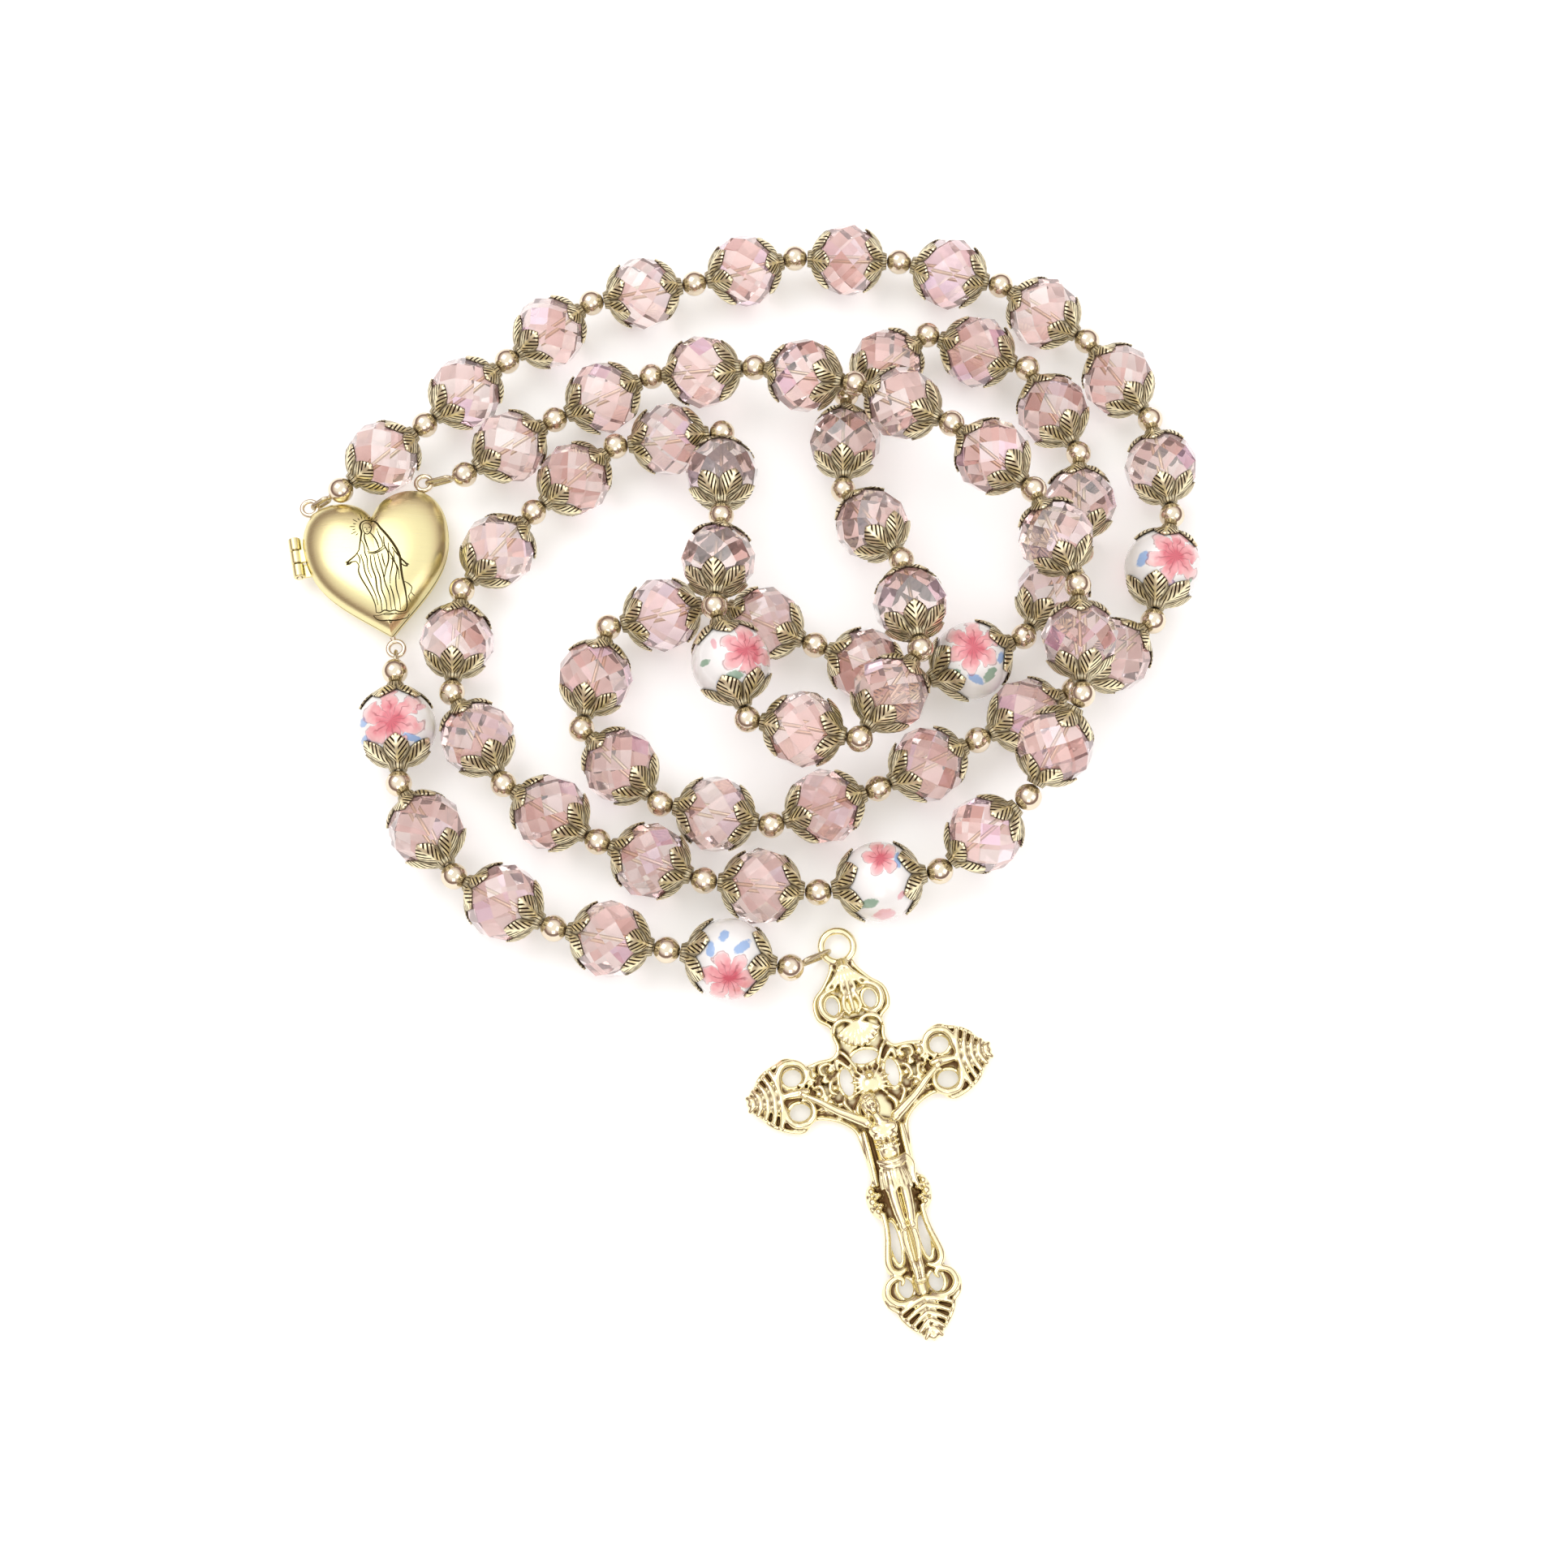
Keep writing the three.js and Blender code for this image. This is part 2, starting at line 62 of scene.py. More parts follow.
makeCamera()
scene.view_settings.view_transform = "Standard"

# Where the beads lie, in metres, from the locket's left eyelet round to its right one.
loopRoute = [
    (-0.0561, 0.0318, 0.0030), (-0.0522, 0.0333, 0.0048), (-0.0214, 0.0601, 0.0051),
    (-0.0080, 0.0632, 0.0051), (0.0051, 0.0672, 0.0051), (0.0323, 0.0634, 0.0051), (0.0513, 0.0438, 0.0051),
    (0.0505, 0.0156, 0.0051), (0.0280, -0.0005, 0.0051), (0.0032, -0.0113, 0.0051),
    (-0.0103, -0.0088, 0.0051), (-0.0203, 0.0007, 0.0051), (-0.0176, 0.0143, 0.0051),
    (-0.0044, 0.0181, 0.0048), (0.0205, 0.0068, 0.0050), (0.0339, 0.0130, 0.0051), (0.0417, 0.0244, 0.0051),
    (0.0421, 0.0381, 0.0052), (0.0361, 0.0506, 0.0052), (0.0233, 0.0557, 0.0052), (0.0125, 0.0471, 0.0051),
    (0.0119, 0.0333, 0.0054), (0.0190, 0.0218, 0.0089), (0.0208, 0.0084, 0.0122), (0.0130, -0.0030, 0.0120),
    (-0.0003, 0.0004, 0.0108), (-0.0041, 0.0148, 0.0120), (-0.0037, 0.0415, 0.0058),
    (-0.0172, 0.0395, 0.0052), (-0.0359, 0.0195, 0.0051), (-0.0365, 0.0058, 0.0051),
    (-0.0296, -0.0062, 0.0051), (-0.0051, -0.0184, 0.0052), (0.0234, -0.0171, 0.0054),
    (0.0398, 0.0020, 0.0142), (0.0350, 0.0285, 0.0149), (0.0130, 0.0450, 0.0118), (-0.0132, 0.0494, 0.0053),
    (-0.0374, 0.0349, 0.0051), (-0.0418, 0.0354, 0.0030),
]
dropRoute = [
    (-0.0437, 0.0086, 0.0049), (-0.0424, -0.0060, 0.0052), (-0.0351, -0.0178, 0.0051),
    (-0.0229, -0.0243, 0.0051), (-0.0094, -0.0270, 0.0053), (0.0053, -0.0290, 0.0048),
]
crystal = {
    "radius": 4.6 * mm, "halfLength": 4.2 * mm, "link": 13.75 * mm, "around": 8,
    "facets": [(12, 0.0, 4.33), (-12, 0.5, 4.33), (33, 0.5, 4.3), (-33, 0.0, 4.3), (57, 0.0, 4.24),
               (-57, 0.5, 4.24)],
}  # facets are rows of (degrees up, share of a step round, mm from the middle)
ceramic = {"radius": 4.8 * mm, "halfLength": 4.7 * mm, "link": 14.8 * mm, "sides": 40, "bands": 25}
ball = {"radius": 1.62 * mm, "sides": 20, "bands": 12, "reach": 80}
wire = {"radius": 0.25 * mm, "bore": 0.6 * mm, "firstBall": 4.8 * mm, "gap": 0.15 * mm}
anySpin = 6.28  # radians


def routeLine(route, steps=24):
    ends = [Vector(p) for p in route]
    ends = [2 * ends[0] - ends[1], *ends, 2 * ends[-1] - ends[-2]]
    line = []
    for a, b, c, d in zip(ends, ends[1:], ends[2:], ends[3:]):
        out, into = (c - a) / 2, (d - b) / 2
        for i in range(steps):
            t = i / steps
            square, cube = 3 * (c - b) - 2 * out - into, 2 * (b - c) + out + into
            line.append(b + out * t + square * t**2 + cube * t**3)
    return line + [ends[-2]]


def steppedAlong(line, distances):  # each stop is at its own straight distance from the one before
    stops, following = [line[0]], 1
    for distance in distances:
        here = stops[-1]
        while following < len(line) - 1 and (line[following] - here).length < distance:
            following += 1
        near, far = line[following - 1], line[following]
        for _ in range(30):  # halvings
            middle = (near + far) / 2
            if (middle - here).length < distance:
                near = middle
            else:
                far = middle
        stops.append(far)
    return stops


linkKinds = [ceramic if (i + 1) % 11 == 0 else crystal for i in range(54)]
loopStops = steppedAlong(routeLine(loopRoute), [wire["firstBall"]] + [kind["link"] for kind in linkKinds])
loopBalls = loopStops[1:]
dropKinds = [ceramic, crystal, crystal, crystal, ceramic]
dropBalls = steppedAlong(routeLine(dropRoute), [kind["link"] for kind in dropKinds])


def rotation(degrees, axis):
    return Matrix.Rotation(math.radians(degrees), 4, axis)


def beadFrame(start, end, spin=0.0):  # own Y runs from start to end
    turn = Vector((0, 1, 0)).rotation_difference((end - start).normalized())
    return Matrix.Translation((start + end) / 2) @ turn.to_matrix().to_4x4() @ Matrix.Rotation(spin, 4, "Y")


# The locket's frame.
locket = {"x": -46.6 * mm, "y": 23.4 * mm, "turn": 12, "parting": 3.0}
locketFrame = Matrix.Translation((locket["x"], locket["y"], 0)) @ rotation(locket["turn"], "Z")
# Mm, in the locket's frame.
eyelets = {"left": (-7.6, 10.2, 3), "right": (7.2, 10.7, 3), "drop": (0.2, -11.25, 3)}
eyelet = {"radius": 1.0 * mm, "wire": 0.32 * mm}


def eyeletAt(side):
    return locketFrame @ (Vector(eyelets[side]) * mm)


# Helpers for meshes.
def makeObject(name, mesh):
    made = bpy.data.objects.new(name, mesh)
    scene.collection.objects.link(made)
    return made


def meshFrom(name, points, faces, smooth=True):
    mesh = bpy.data.meshes.new(name)
    mesh.from_pydata([tuple(p) for p in points], [], [tuple(f) for f in faces])
    mesh.polygons.foreach_set("use_smooth", [smooth] * len(mesh.polygons))
    mesh.update()
    return mesh


def finished(thing, name):  # the evaluated mesh as a plain object; the working object is removed
    shown = thing.evaluated_get(bpy.context.evaluated_depsgraph_get())
    mesh = bpy.data.meshes.new_from_object(shown, preserve_all_data_layers=True,
                                           depsgraph=bpy.context.evaluated_depsgraph_get())
    bpy.data.objects.remove(thing)
    return makeObject(name, mesh)


def sharpAbove(thing, degrees):
    thing.data.set_sharp_from_angle(angle=math.radians(degrees))


def joinMeshes(name, parts):  # closed shells side by side in one mesh; parts are (points, faces)
    points, faces = [], []
    for partPoints, partFaces in parts:
        first = len(points)
        points += list(partPoints)
        faces += [tuple(i + first for i in f) for f in partFaces]
    return meshFrom(name, points, faces)


# Between rings of points, with the last ring joined to the first if closed.
def bandFaces(rows, sides, closed=True):
    faces = []
    for row in range(rows if closed else rows - 1):
        a, b = row * sides, ((row + 1) % rows) * sides
        faces += [(a + k, a + (k + 1) % sides, b + (k + 1) % sides, b + k) for k in range(sides)]
    return faces


def circle(count):  # (cosine, sine) at even steps
    return [(math.cos(t), math.sin(t)) for t in np.linspace(0, 2 * math.pi, count + 1)[:-1]]


def turnedShell(profile, sides):  # a closed profile of (radius, height) turned about Y
    angles = [2 * math.pi * k / sides for k in range(sides)]
    points = [(r * math.cos(angle), y, r * math.sin(angle)) for r, y in profile for angle in angles]
    return points, bandFaces(len(profile), sides)


def roundShell(centre, size, sides=12, bands=8, turn=None):
    points, faces = [], []
    for band in range(1, bands):
        a = math.pi * band / bands
        for k in range(sides):
            t = 2 * math.pi * k / sides
            points.append(Vector((math.sin(a) * math.cos(t), math.sin(a) * math.sin(t), math.cos(a))))
    top, bottom = len(points), len(points) + 1
    points += [Vector((0, 0, 1)), Vector((0, 0, -1))]
    for k in range(sides):
        n = (k + 1) % sides
        faces.append((top, k, n))
        for band in range(bands - 2):
            a, b = band * sides, (band + 1) * sides
            faces.append((a + k, b + k, b + n, a + n))
        last = (bands - 2) * sides
        faces.append((bottom, last + n, last + k))
    place = Matrix.Translation(centre) @ (turn or Matrix()) @ Matrix.Diagonal((*size, 1))
    return [place @ p for p in points], faces


def smoothLine(points, steps=6):
    return routeLine([Vector(p) for p in points], steps)


def tubeShell(line, radii, sides=8, closed=False, flatten=1.0, up=None):
    line = [Vector(p) for p in line]
    count = len(line)
    if not hasattr(radii, "__len__"):
        radii = [radii] * count
    radii = [float(r) for r in radii]
    points, side = [], None
    for i, p in enumerate(line):
        before = line[i - 1 if closed else max(i - 1, 0)]
        after = line[(i + 1) % count if closed else min(i + 1, count - 1)]
        along = (after - before).normalized()
        if up is not None:
            side = along.cross(Vector(up)).normalized()
        elif side is None:
            side = along.orthogonal().normalized()
        else:
            side = (side - along * side.dot(along)).normalized()
        rise = side.cross(along)
        for k in range(sides):
            t = 2 * math.pi * k / sides
            points.append(p + radii[i] * (math.cos(t) * side + flatten * math.sin(t) * rise))
    faces = [(a, d, c, b) for a, b, c, d in bandFaces(count, sides, closed)]
    if not closed:
        first, last = len(points), len(points) + 1
        points += [line[0] - (line[1] - line[0]).normalized() * radii[0] * 0.6,
                   line[-1] + (line[-1] - line[-2]).normalized() * radii[-1] * 0.6]
        for k in range(sides):
            n = (k + 1) % sides
            faces.append((first, k, n))
            faces.append((last, (count - 1) * sides + n, (count - 1) * sides + k))
    return points, faces


boxFaces = [(0, 2, 3, 1), (4, 5, 7, 6), (0, 1, 5, 4), (2, 6, 7, 3), (0, 4, 6, 2), (1, 3, 7, 5)]


def outward(mesh):
    work = bmesh.new()
    work.from_mesh(mesh)
    bmesh.ops.recalc_face_normals(work, faces=work.faces)
    work.to_mesh(mesh)
    work.free()
    mesh.update()
    return mesh


# Shader trees are built from signals: node outputs that can be added, multiplied and so on.
def feed(part, **values):  # a node's own settings and its inputs, set or linked
    for key, value in values.items():
        if hasattr(part, key):
            setattr(part, key, value)
        else:
            feedSocket(part.inputs[key.replace("_", " ")], value)
    return part


def feedSocket(socket, value):
    if isinstance(value, Signal):
        socket.id_data.links.new(value.socket, socket)
    elif socket.type == "RGBA" and len(value) == 3:
        socket.default_value = (*value, 1)
    else:
        socket.default_value = value


def node(tree, kind, **values):
    return feed(tree.nodes.new(kind), **values)


def output(tree, kind, name=0, **values):
    return Signal(node(tree, kind, **values).outputs[name])


def maths(operation, *values):
    tree = next(value.socket.id_data for value in values if isinstance(value, Signal))
    made = node(tree, "ShaderNodeMath", operation=operation)
    for socket, value in zip(made.inputs, values):
        feedSocket(socket, value)
    return Signal(made.outputs[0])


class Signal:
    def __init__(self, socket):
        self.socket = socket

    def __add__(self, other):
        return maths("ADD", self, other)

    def __sub__(self, other):
        return maths("SUBTRACT", self, other)

    def __rsub__(self, other):
        return maths("SUBTRACT", other, self)

    def __mul__(self, other):
        return maths("MULTIPLY", self, other)

    def __truediv__(self, other):
        return maths("DIVIDE", self, other)

    def __abs__(self):
        return maths("ABSOLUTE", self)

    def clamped(self):
        self.socket.node.use_clamp = True
        return self


def axes(tree, vector):
    split = node(tree, "ShaderNodeSeparateXYZ", Vector=vector)
    return [Signal(socket) for socket in split.outputs]


def ramp(tree, value, stops):
    made = node(tree, "ShaderNodeValToRGB", Fac=value)
    points = made.color_ramp.elements
    while len(points) < len(stops):
        points.new(0.5)
    for element, (place, colour) in zip(points, stops):
        element.position = place
        element.color = (*colour, 1)
    return Signal(made.outputs[0])


def mixColour(tree, mask, below, above):
    mix = node(tree, "ShaderNodeMix", data_type="RGBA", Factor=mask)
    feedSocket(mix.inputs[6], below)
    feedSocket(mix.inputs[7], above)
    return Signal(mix.outputs[2])


def startGroup(name, values, results):  # every group also takes the coordinates of its pattern
    group = bpy.data.node_groups.new(name, "ShaderNodeTree")
    group.interface.new_socket("Coordinates", in_out="INPUT", socket_type="NodeSocketVector")
    for label, value in values.items():
        kind = "NodeSocketColor" if isinstance(value, tuple) else "NodeSocketFloat"
        group.interface.new_socket(label, in_out="INPUT", socket_type=kind).default_value = value
    for label in results:
        kind = "NodeSocketColor" if label == "Color" else "NodeSocketFloat"
        group.interface.new_socket(label, in_out="OUTPUT", socket_type=kind)
    given = node(group, "NodeGroupInput")
    signals = {socket.name: Signal(socket) for socket in given.outputs if socket.name}
    return group, signals, node(group, "NodeGroupOutput")


def makeRecessShadeAndTarnish():  # plate with painted shade in recesses and tarnish in soft patches
    group, given, result = startGroup(
        "recessShadeAndTarnish", {"Recess": 0.0, "Patch Size": 900.0, "Patch Amount": 0.3, "Plate": (0.8, 0.7, 0.4, 1),
                    "Dark": (0.1, 0.06, 0.03, 1), "Smooth": 0.2, "Dull": 0.6},
                    ("Color", "Roughness", "Grain"))
    noise = output(group, "ShaderNodeTexNoise", Vector=given["Coordinates"], Scale=given["Patch Size"],
                   Detail=4.0)
    patch = (noise - 0.5) * given["Patch Amount"]
    # The Recess input is painted shade, added to the tarnish of the patches.
    amount = (given["Recess"] + patch).clamped()
    feed(result, Color=mixColour(group, amount, given["Plate"], given["Dark"]), Grain=noise,
         Roughness=given["Smooth"] + (given["Dull"] - given["Smooth"]) * amount)
    return group


def makeLeafVeins():  # a leaf's midrib and its slanted side veins, on x across from -1 to 1 and y along
    group, given, result = startGroup("leafVeins", {"Veins": 6.0, "Slant": 0.5}, ("Groove",))
    x, y, _ = axes(group, given["Coordinates"])
    across = abs(x)
    wave = maths("SINE", (y - across * given["Slant"]) * given["Veins"] * 6.283)
    veins = ((wave - 0.12) * 4.5).clamped()
    besideRib = ((across - 0.07) * 14.0).clamped()
    insideEdge = ((0.86 - across) * 9.0).clamped()
    edge = ((across - 0.9) * 14.0).clamped()
    feed(result, Groove=maths("MAXIMUM", veins * besideRib * insideEdge, edge))
    return group


# A flower of open petals, painted flat: masks for the petals, their lines and the heart.
def makePaintedFlower():
    group, given, result = startGroup("paintedFlower",
                                      {"X": 0.0, "Y": 0.0, "Size": 0.5, "Turn": 0.0, "Petals": 5.0},
                                      ("Petals", "Lines", "Depth"))
    acrossBead, upBead, facing = axes(group, given["Coordinates"])
    noise = output(group, "ShaderNodeTexNoise", Vector=given["Coordinates"], Scale=3.4, Detail=2.0)
    x, y = acrossBead - given["X"], upBead - given["Y"]
    bent = maths("ARCTAN2", y, x) + given["Turn"] + noise * 0.9
    far = maths("SQRT", x * x + y * y) / given["Size"]
    lobes = abs(maths("COSINE", bent * (given["Petals"] * 0.5)))
    reach = maths("POWER", lobes, 0.6) * 0.58 + 0.42
    front = ((facing - 0.02) * 12.0).clamped()
    inside = ((reach - far) * 14.0).clamped()
    rim = 1.0 - (abs(reach - far) * 22.0).clamped()
    ribs = ((lobes - 0.975) * 40.0).clamped() * ((0.75 - far) * 5.0).clamped()
    seams = maths("MAXIMUM", ((0.16 - lobes) * 9.0).clamped(), ribs)
    heart = (1.0 - far * 1.15).clamped()
    feed(result, Petals=inside * front, Lines=maths("MAXIMUM", rim, seams * inside) * front,
         Depth=(heart + (noise - 0.45) * 1.2).clamped())
    return group


def makePaintedDab():  # one soft brush dab
    group, given, result = startGroup("paintedDab",
                                      {"X": 0.0, "Y": 0.0, "Long": 0.2, "Wide": 0.1, "Turn": 0.0},
                                      ("Mask",))
    acrossBead, upBead, facing = axes(group, given["Coordinates"])
    noise = output(group, "ShaderNodeTexNoise", Vector=given["Coordinates"], Scale=9.0, Detail=2.0)
    x, y = acrossBead - given["X"], upBead - given["Y"]
    cosine, sine = maths("COSINE", given["Turn"]), maths("SINE", given["Turn"])
    along = (x * cosine + y * sine) / given["Long"]
    aside = (y * cosine - x * sine) / given["Wide"]
    ragged = along * along + aside * aside + (noise - 0.5) * 1.4
    feed(result, Mask=((1.0 - ragged) * 2.4).clamped() * (facing * 12.0).clamped())
    return group


groups = {"recessShadeAndTarnish": makeRecessShadeAndTarnish(), "leafVeins": makeLeafVeins(), "paintedFlower": makePaintedFlower(),
          "paintedDab": makePaintedDab()}


def grouped(tree, name, coordinates, **values):
    made = feed(node(tree, "ShaderNodeGroup", node_tree=groups[name]), Coordinates=coordinates, **values)
    return {socket.name: Signal(socket) for socket in made.outputs}


def startMaterial(name, **values):
    material = bpy.data.materials.new(name)
    material.use_nodes = True
    tree = material.node_tree
    return material, tree, feed(tree.nodes["Principled BSDF"], **values)


def attribute(tree, name, kind="Fac"):
    return output(tree, "ShaderNodeAttribute", kind, attribute_name=name)


def bumped(tree, height, strength, distance):
    return output(tree, "ShaderNodeBump", Strength=strength, Distance=distance, Height=height)


def metalMaterial(name, plate, dark, smooth, dull, patchSize, patchAmount, recess=None, grain=0.0,
                  stretch=None):
    material, tree, surface = startMaterial(name, Metallic=1.0)
    place = output(tree, "ShaderNodeTexCoord", "Object")
    if stretch:
        place = output(tree, "ShaderNodeMapping", Vector=place, Scale=stretch)
    made = grouped(tree, "recessShadeAndTarnish", place, Recess=attribute(tree, recess) if recess else 0.0,
                   Patch_Size=patchSize,
                   Patch_Amount=patchAmount, Plate=plate, Dark=dark, Smooth=smooth, Dull=dull)
    feed(surface, Base_Color=made["Color"], Roughness=made["Roughness"])
    if grain:
        feed(surface, Normal=bumped(tree, made["Grain"], grain, 0.1 * mm))
    return material


def leafMaterial():
    material, tree, surface = startMaterial("antiqueLeafGold", Metallic=1.0)
    veins = grouped(tree, "leafVeins", attribute(tree, "leafPlace", "Vector"), Veins=3.8, Slant=0.55)
    # The dark vein lines and the caps' painted shade darken the plate together.
    recess = maths("MAXIMUM", veins["Groove"], attribute(tree, "recess"))
    made = grouped(tree, "recessShadeAndTarnish", output(tree, "ShaderNodeTexCoord", "Object"), Recess=recess,
                   Patch_Size=900.0,
                   Patch_Amount=0.2, Plate=(1.0, 0.90, 0.60), Dark=(0.04, 0.02, 0.01), Smooth=0.3, Dull=0.6)
    feed(surface, Base_Color=made["Color"], Roughness=made["Roughness"],
         Normal=bumped(tree, 1.0 - recess, 0.9, 0.18 * mm))
    return material


# The crystal's pink, with painted shade on the darker facets, painted highlights on the near-white ones and
# the lilac of the coating.
crystalPinkAndPaintedFacetLight = [(0.0, (0.72, 0.40, 0.35)), (0.18, (0.92, 0.62, 0.58)), (0.45, (0.98, 0.78, 0.75)),
                (0.7, (1.0, 0.88, 0.85)), (0.88, (1.0, 0.96, 0.94)), (1.0, (0.97, 0.64, 0.90))]


def crystalMaterial():
    material, tree, surface = startMaterial("pinkCrystal", Transmission_Weight=0.84, Roughness=0.02, IOR=1.52,
                                            Coat_Weight=0.6, Coat_Roughness=0.03, Coat_IOR=1.8)
    shadow = output(tree, "ShaderNodeLightPath", "Is Shadow Ray")
    # Picked at random per facet and per bead: which facets get painted shade or painted highlight.
    mixed = maths("FRACT", attribute(tree, "facet") * 7.3 + attribute(tree, "tone") * 5.1)
    feed(surface, Alpha=1.0 - shadow * 0.8, Base_Color=ramp(tree, mixed, crystalPinkAndPaintedFacetLight))
    return material


glazes = {"white": (0.93, 0.92, 0.90), "flowerEdge": (0.96, 0.64, 0.63), "flowerPink": (0.90, 0.42, 0.44),
          "flowerDeep": (0.66, 0.12, 0.16), "line": (0.36, 0.08, 0.10), "blue": (0.22, 0.42, 0.78),
          "green": (0.16, 0.33, 0.20), "rose": (0.85, 0.42, 0.47)}


def ceramicMaterial(name, flower, dabs):
    material, tree, surface = startMaterial(name, Roughness=0.16, IOR=1.5, Coat_Weight=0.6,
                                            Coat_Roughness=0.04)
    front = attribute(tree, "paintPlace", "Vector")
    back = output(tree, "ShaderNodeMapping", Vector=front, Rotation=(0, math.pi, 0.6))
    colour = glazes["white"]
    for x, y, long, wide, turn, glaze in dabs:
        for spot in (front, back):
            made = grouped(tree, "paintedDab", spot, X=x, Y=y, Long=long, Wide=wide, Turn=turn)
            colour = mixColour(tree, made["Mask"] * 0.8, colour, glazes[glaze])
    for spot in (front, back):
        made = grouped(tree, "paintedFlower", spot, **dict(zip(("X", "Y", "Size", "Turn", "Petals"), flower)))
        petal = ramp(tree, made["Depth"], [(0.0, glazes["flowerEdge"]), (0.4, glazes["flowerPink"]),
                                           (0.9, glazes["flowerDeep"])])
        colour = mixColour(tree, made["Petals"], colour, petal)
        colour = mixColour(tree, made["Lines"] * 0.68, colour, glazes["line"])
    feed(surface, Base_Color=colour)
    return material


def cardMaterial():
    material, tree, surface = startMaterial("creamCard", Roughness=0.8)
    fibres = output(tree, "ShaderNodeTexNoise", Vector=output(tree, "ShaderNodeTexCoord", "Object"),
                    Scale=3000.0,
                    Detail=4.0)
    feed(surface, Base_Color=ramp(tree, fibres, [(0.3, (0.82, 0.78, 0.70)), (0.7, (0.92, 0.90, 0.84))]))
    return material


# Metals: plate and dark colours, roughness of each, size and amount of the patches.
finishes = {
    "crystal": crystalMaterial(),
    "leaf": leafMaterial(),
    "polished": metalMaterial("polishedPaleGold", (0.80, 0.70, 0.54), (0.32, 0.19, 0.13), 0.10, 0.3, 500.0,
                              0.8),
    "satin": metalMaterial("satinLocketGold", (0.84, 0.75, 0.41), (0.46, 0.36, 0.15), 0.27, 0.4, 260.0, 0.16,
                           grain=0.05, stretch=(1, 14, 1)),
    # The cast gold takes painted shade in the crucifix's recesses from its recess attribute.
    "cast": metalMaterial("castCrucifixGold", (0.93, 0.84, 0.54), (0.16, 0.085, 0.035), 0.15, 0.5, 900.0,
                          0.12,
                          recess="recess", grain=0.06),
    # Near-black lines painted as the shade in the engraving's cut grooves.
    "engravingShade": metalMaterial("engravedGrooveShade", (0.07, 0.05, 0.02), (0.03, 0.02, 0.01), 0.6, 0.8, 1500.0, 0.8),
    "wire": metalMaterial("goldWire", (0.66, 0.58, 0.42), (0.16, 0.11, 0.07), 0.2, 0.45, 2500.0, 0.6),
    "card": cardMaterial(),
}
print("materials made")


# The wire of the loop, a free cord from eyelet to eyelet.
def loopWirePoints():
    stops = [eyeletAt("left"), *loopBalls, eyeletAt("right")]
    # Where the wire starts, and how far in each ball its bend begins.
    toBall, sunk = 0.22, 0.9 * ball["radius"]
    points = [stops[0].lerp(stops[1], toBall)]
    for before, here, after in zip(stops, stops[1:], stops[2:]):
        into, out = (here - before).normalized(), (after - here).normalized()
        for share in (0.0, 0.25, 0.5, 0.75, 1.0):
            a, b = here - into * sunk, here + out * sunk
            points.append((1 - share) ** 2 * a + 2 * share * (1 - share) * here + share**2 * b)
    points.append(stops[-2].lerp(stops[-1], 1 - toBall))
    return points


def makeLoopWire():
    points = loopWirePoints()
    data = bpy.data.curves.new("loopWire", "CURVE")
    data.dimensions = "3D"
    data.bevel_depth = wire["radius"]
    data.bevel_resolution = 2
    data.use_fill_caps = True
    spline = data.splines.new("POLY")
    spline.points.add(len(points) - 1)
    for target, point in zip(spline.points, points):
        target.co = (*point, 1)
    made = makeObject("loopWire", data)
    data.materials.append(finishes["wire"])
    length = sum((b - a).length for a, b in zip(points, points[1:]))
    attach(made, "root")
    print("loop wire", round(length, 4), "m")


makeLoopWire()


# Geometry nodes that string one shape along the wire.
def makeStringing():
    tree = bpy.data.node_groups.new("strungShapes", "GeometryNodeTree")
    for name, kind in (("Spots", "Geometry"), ("Shape", "Object"), ("Seed", "Int"), ("Finish", "Material")):
        tree.interface.new_socket(name, in_out="INPUT", socket_type="NodeSocket" + kind)
    tree.interface.new_socket("Pieces", in_out="OUTPUT", socket_type="NodeSocketGeometry")
    start = node(tree, "NodeGroupInput")
    given = {socket.name: Signal(socket) for socket in start.outputs if socket.name}

    def shown(sockets, name=None):
        return next(socket for socket in sockets if socket.enabled and name in (None, socket.name))

    shape = output(tree, "GeometryNodeObjectInfo", "Geometry", Object=given["Shape"])
    turn = node(tree, "GeometryNodeInputNamedAttribute", data_type="QUATERNION", Name="turn")
    placed = output(tree, "GeometryNodeInstanceOnPoints", Points=given["Spots"], Instance=shape,
                    Rotation=Signal(shown(turn.outputs)))
    tone = node(tree, "FunctionNodeRandomValue", data_type="FLOAT", Seed=given["Seed"])
    store = node(tree, "GeometryNodeStoreNamedAttribute", data_type="FLOAT", domain="INSTANCE", Name="tone",
                 Geometry=placed)
    feedSocket(shown(store.inputs, "Value"), Signal(shown(tone.outputs)))
    real = output(tree, "GeometryNodeRealizeInstances", Geometry=Signal(store.outputs[0]))
    painted = output(tree, "GeometryNodeSetMaterial", Geometry=real, Material=given["Finish"])
    feed(node(tree, "NodeGroupOutput"), Pieces=painted)
    return tree


stringing = makeStringing()


def strung(name, frames, shape, finish, seed=1):
    mesh = bpy.data.meshes.new(name + "Spots")
    mesh.from_pydata([f.translation for f in frames], [], [])
    turns = mesh.attributes.new("turn", "QUATERNION", "POINT")
    for item, place in zip(turns.data, frames):
        item.value = place.to_quaternion()
    spots = makeObject(name + "Spots", mesh)
    modifier = spots.modifiers.new("stringing", "NODES")
    modifier.node_group = stringing
    values = {"Shape": shape, "Seed": seed, "Finish": finishes[finish]}
    for item in stringing.interface.items_tree:
        if item.in_out == "INPUT" and item.name in values:
            modifier[item.identifier] = values[item.name]
    return finished(spots, name)


def hidden(thing):
    thing.hide_render = True
    thing.hide_viewport = True
    return thing


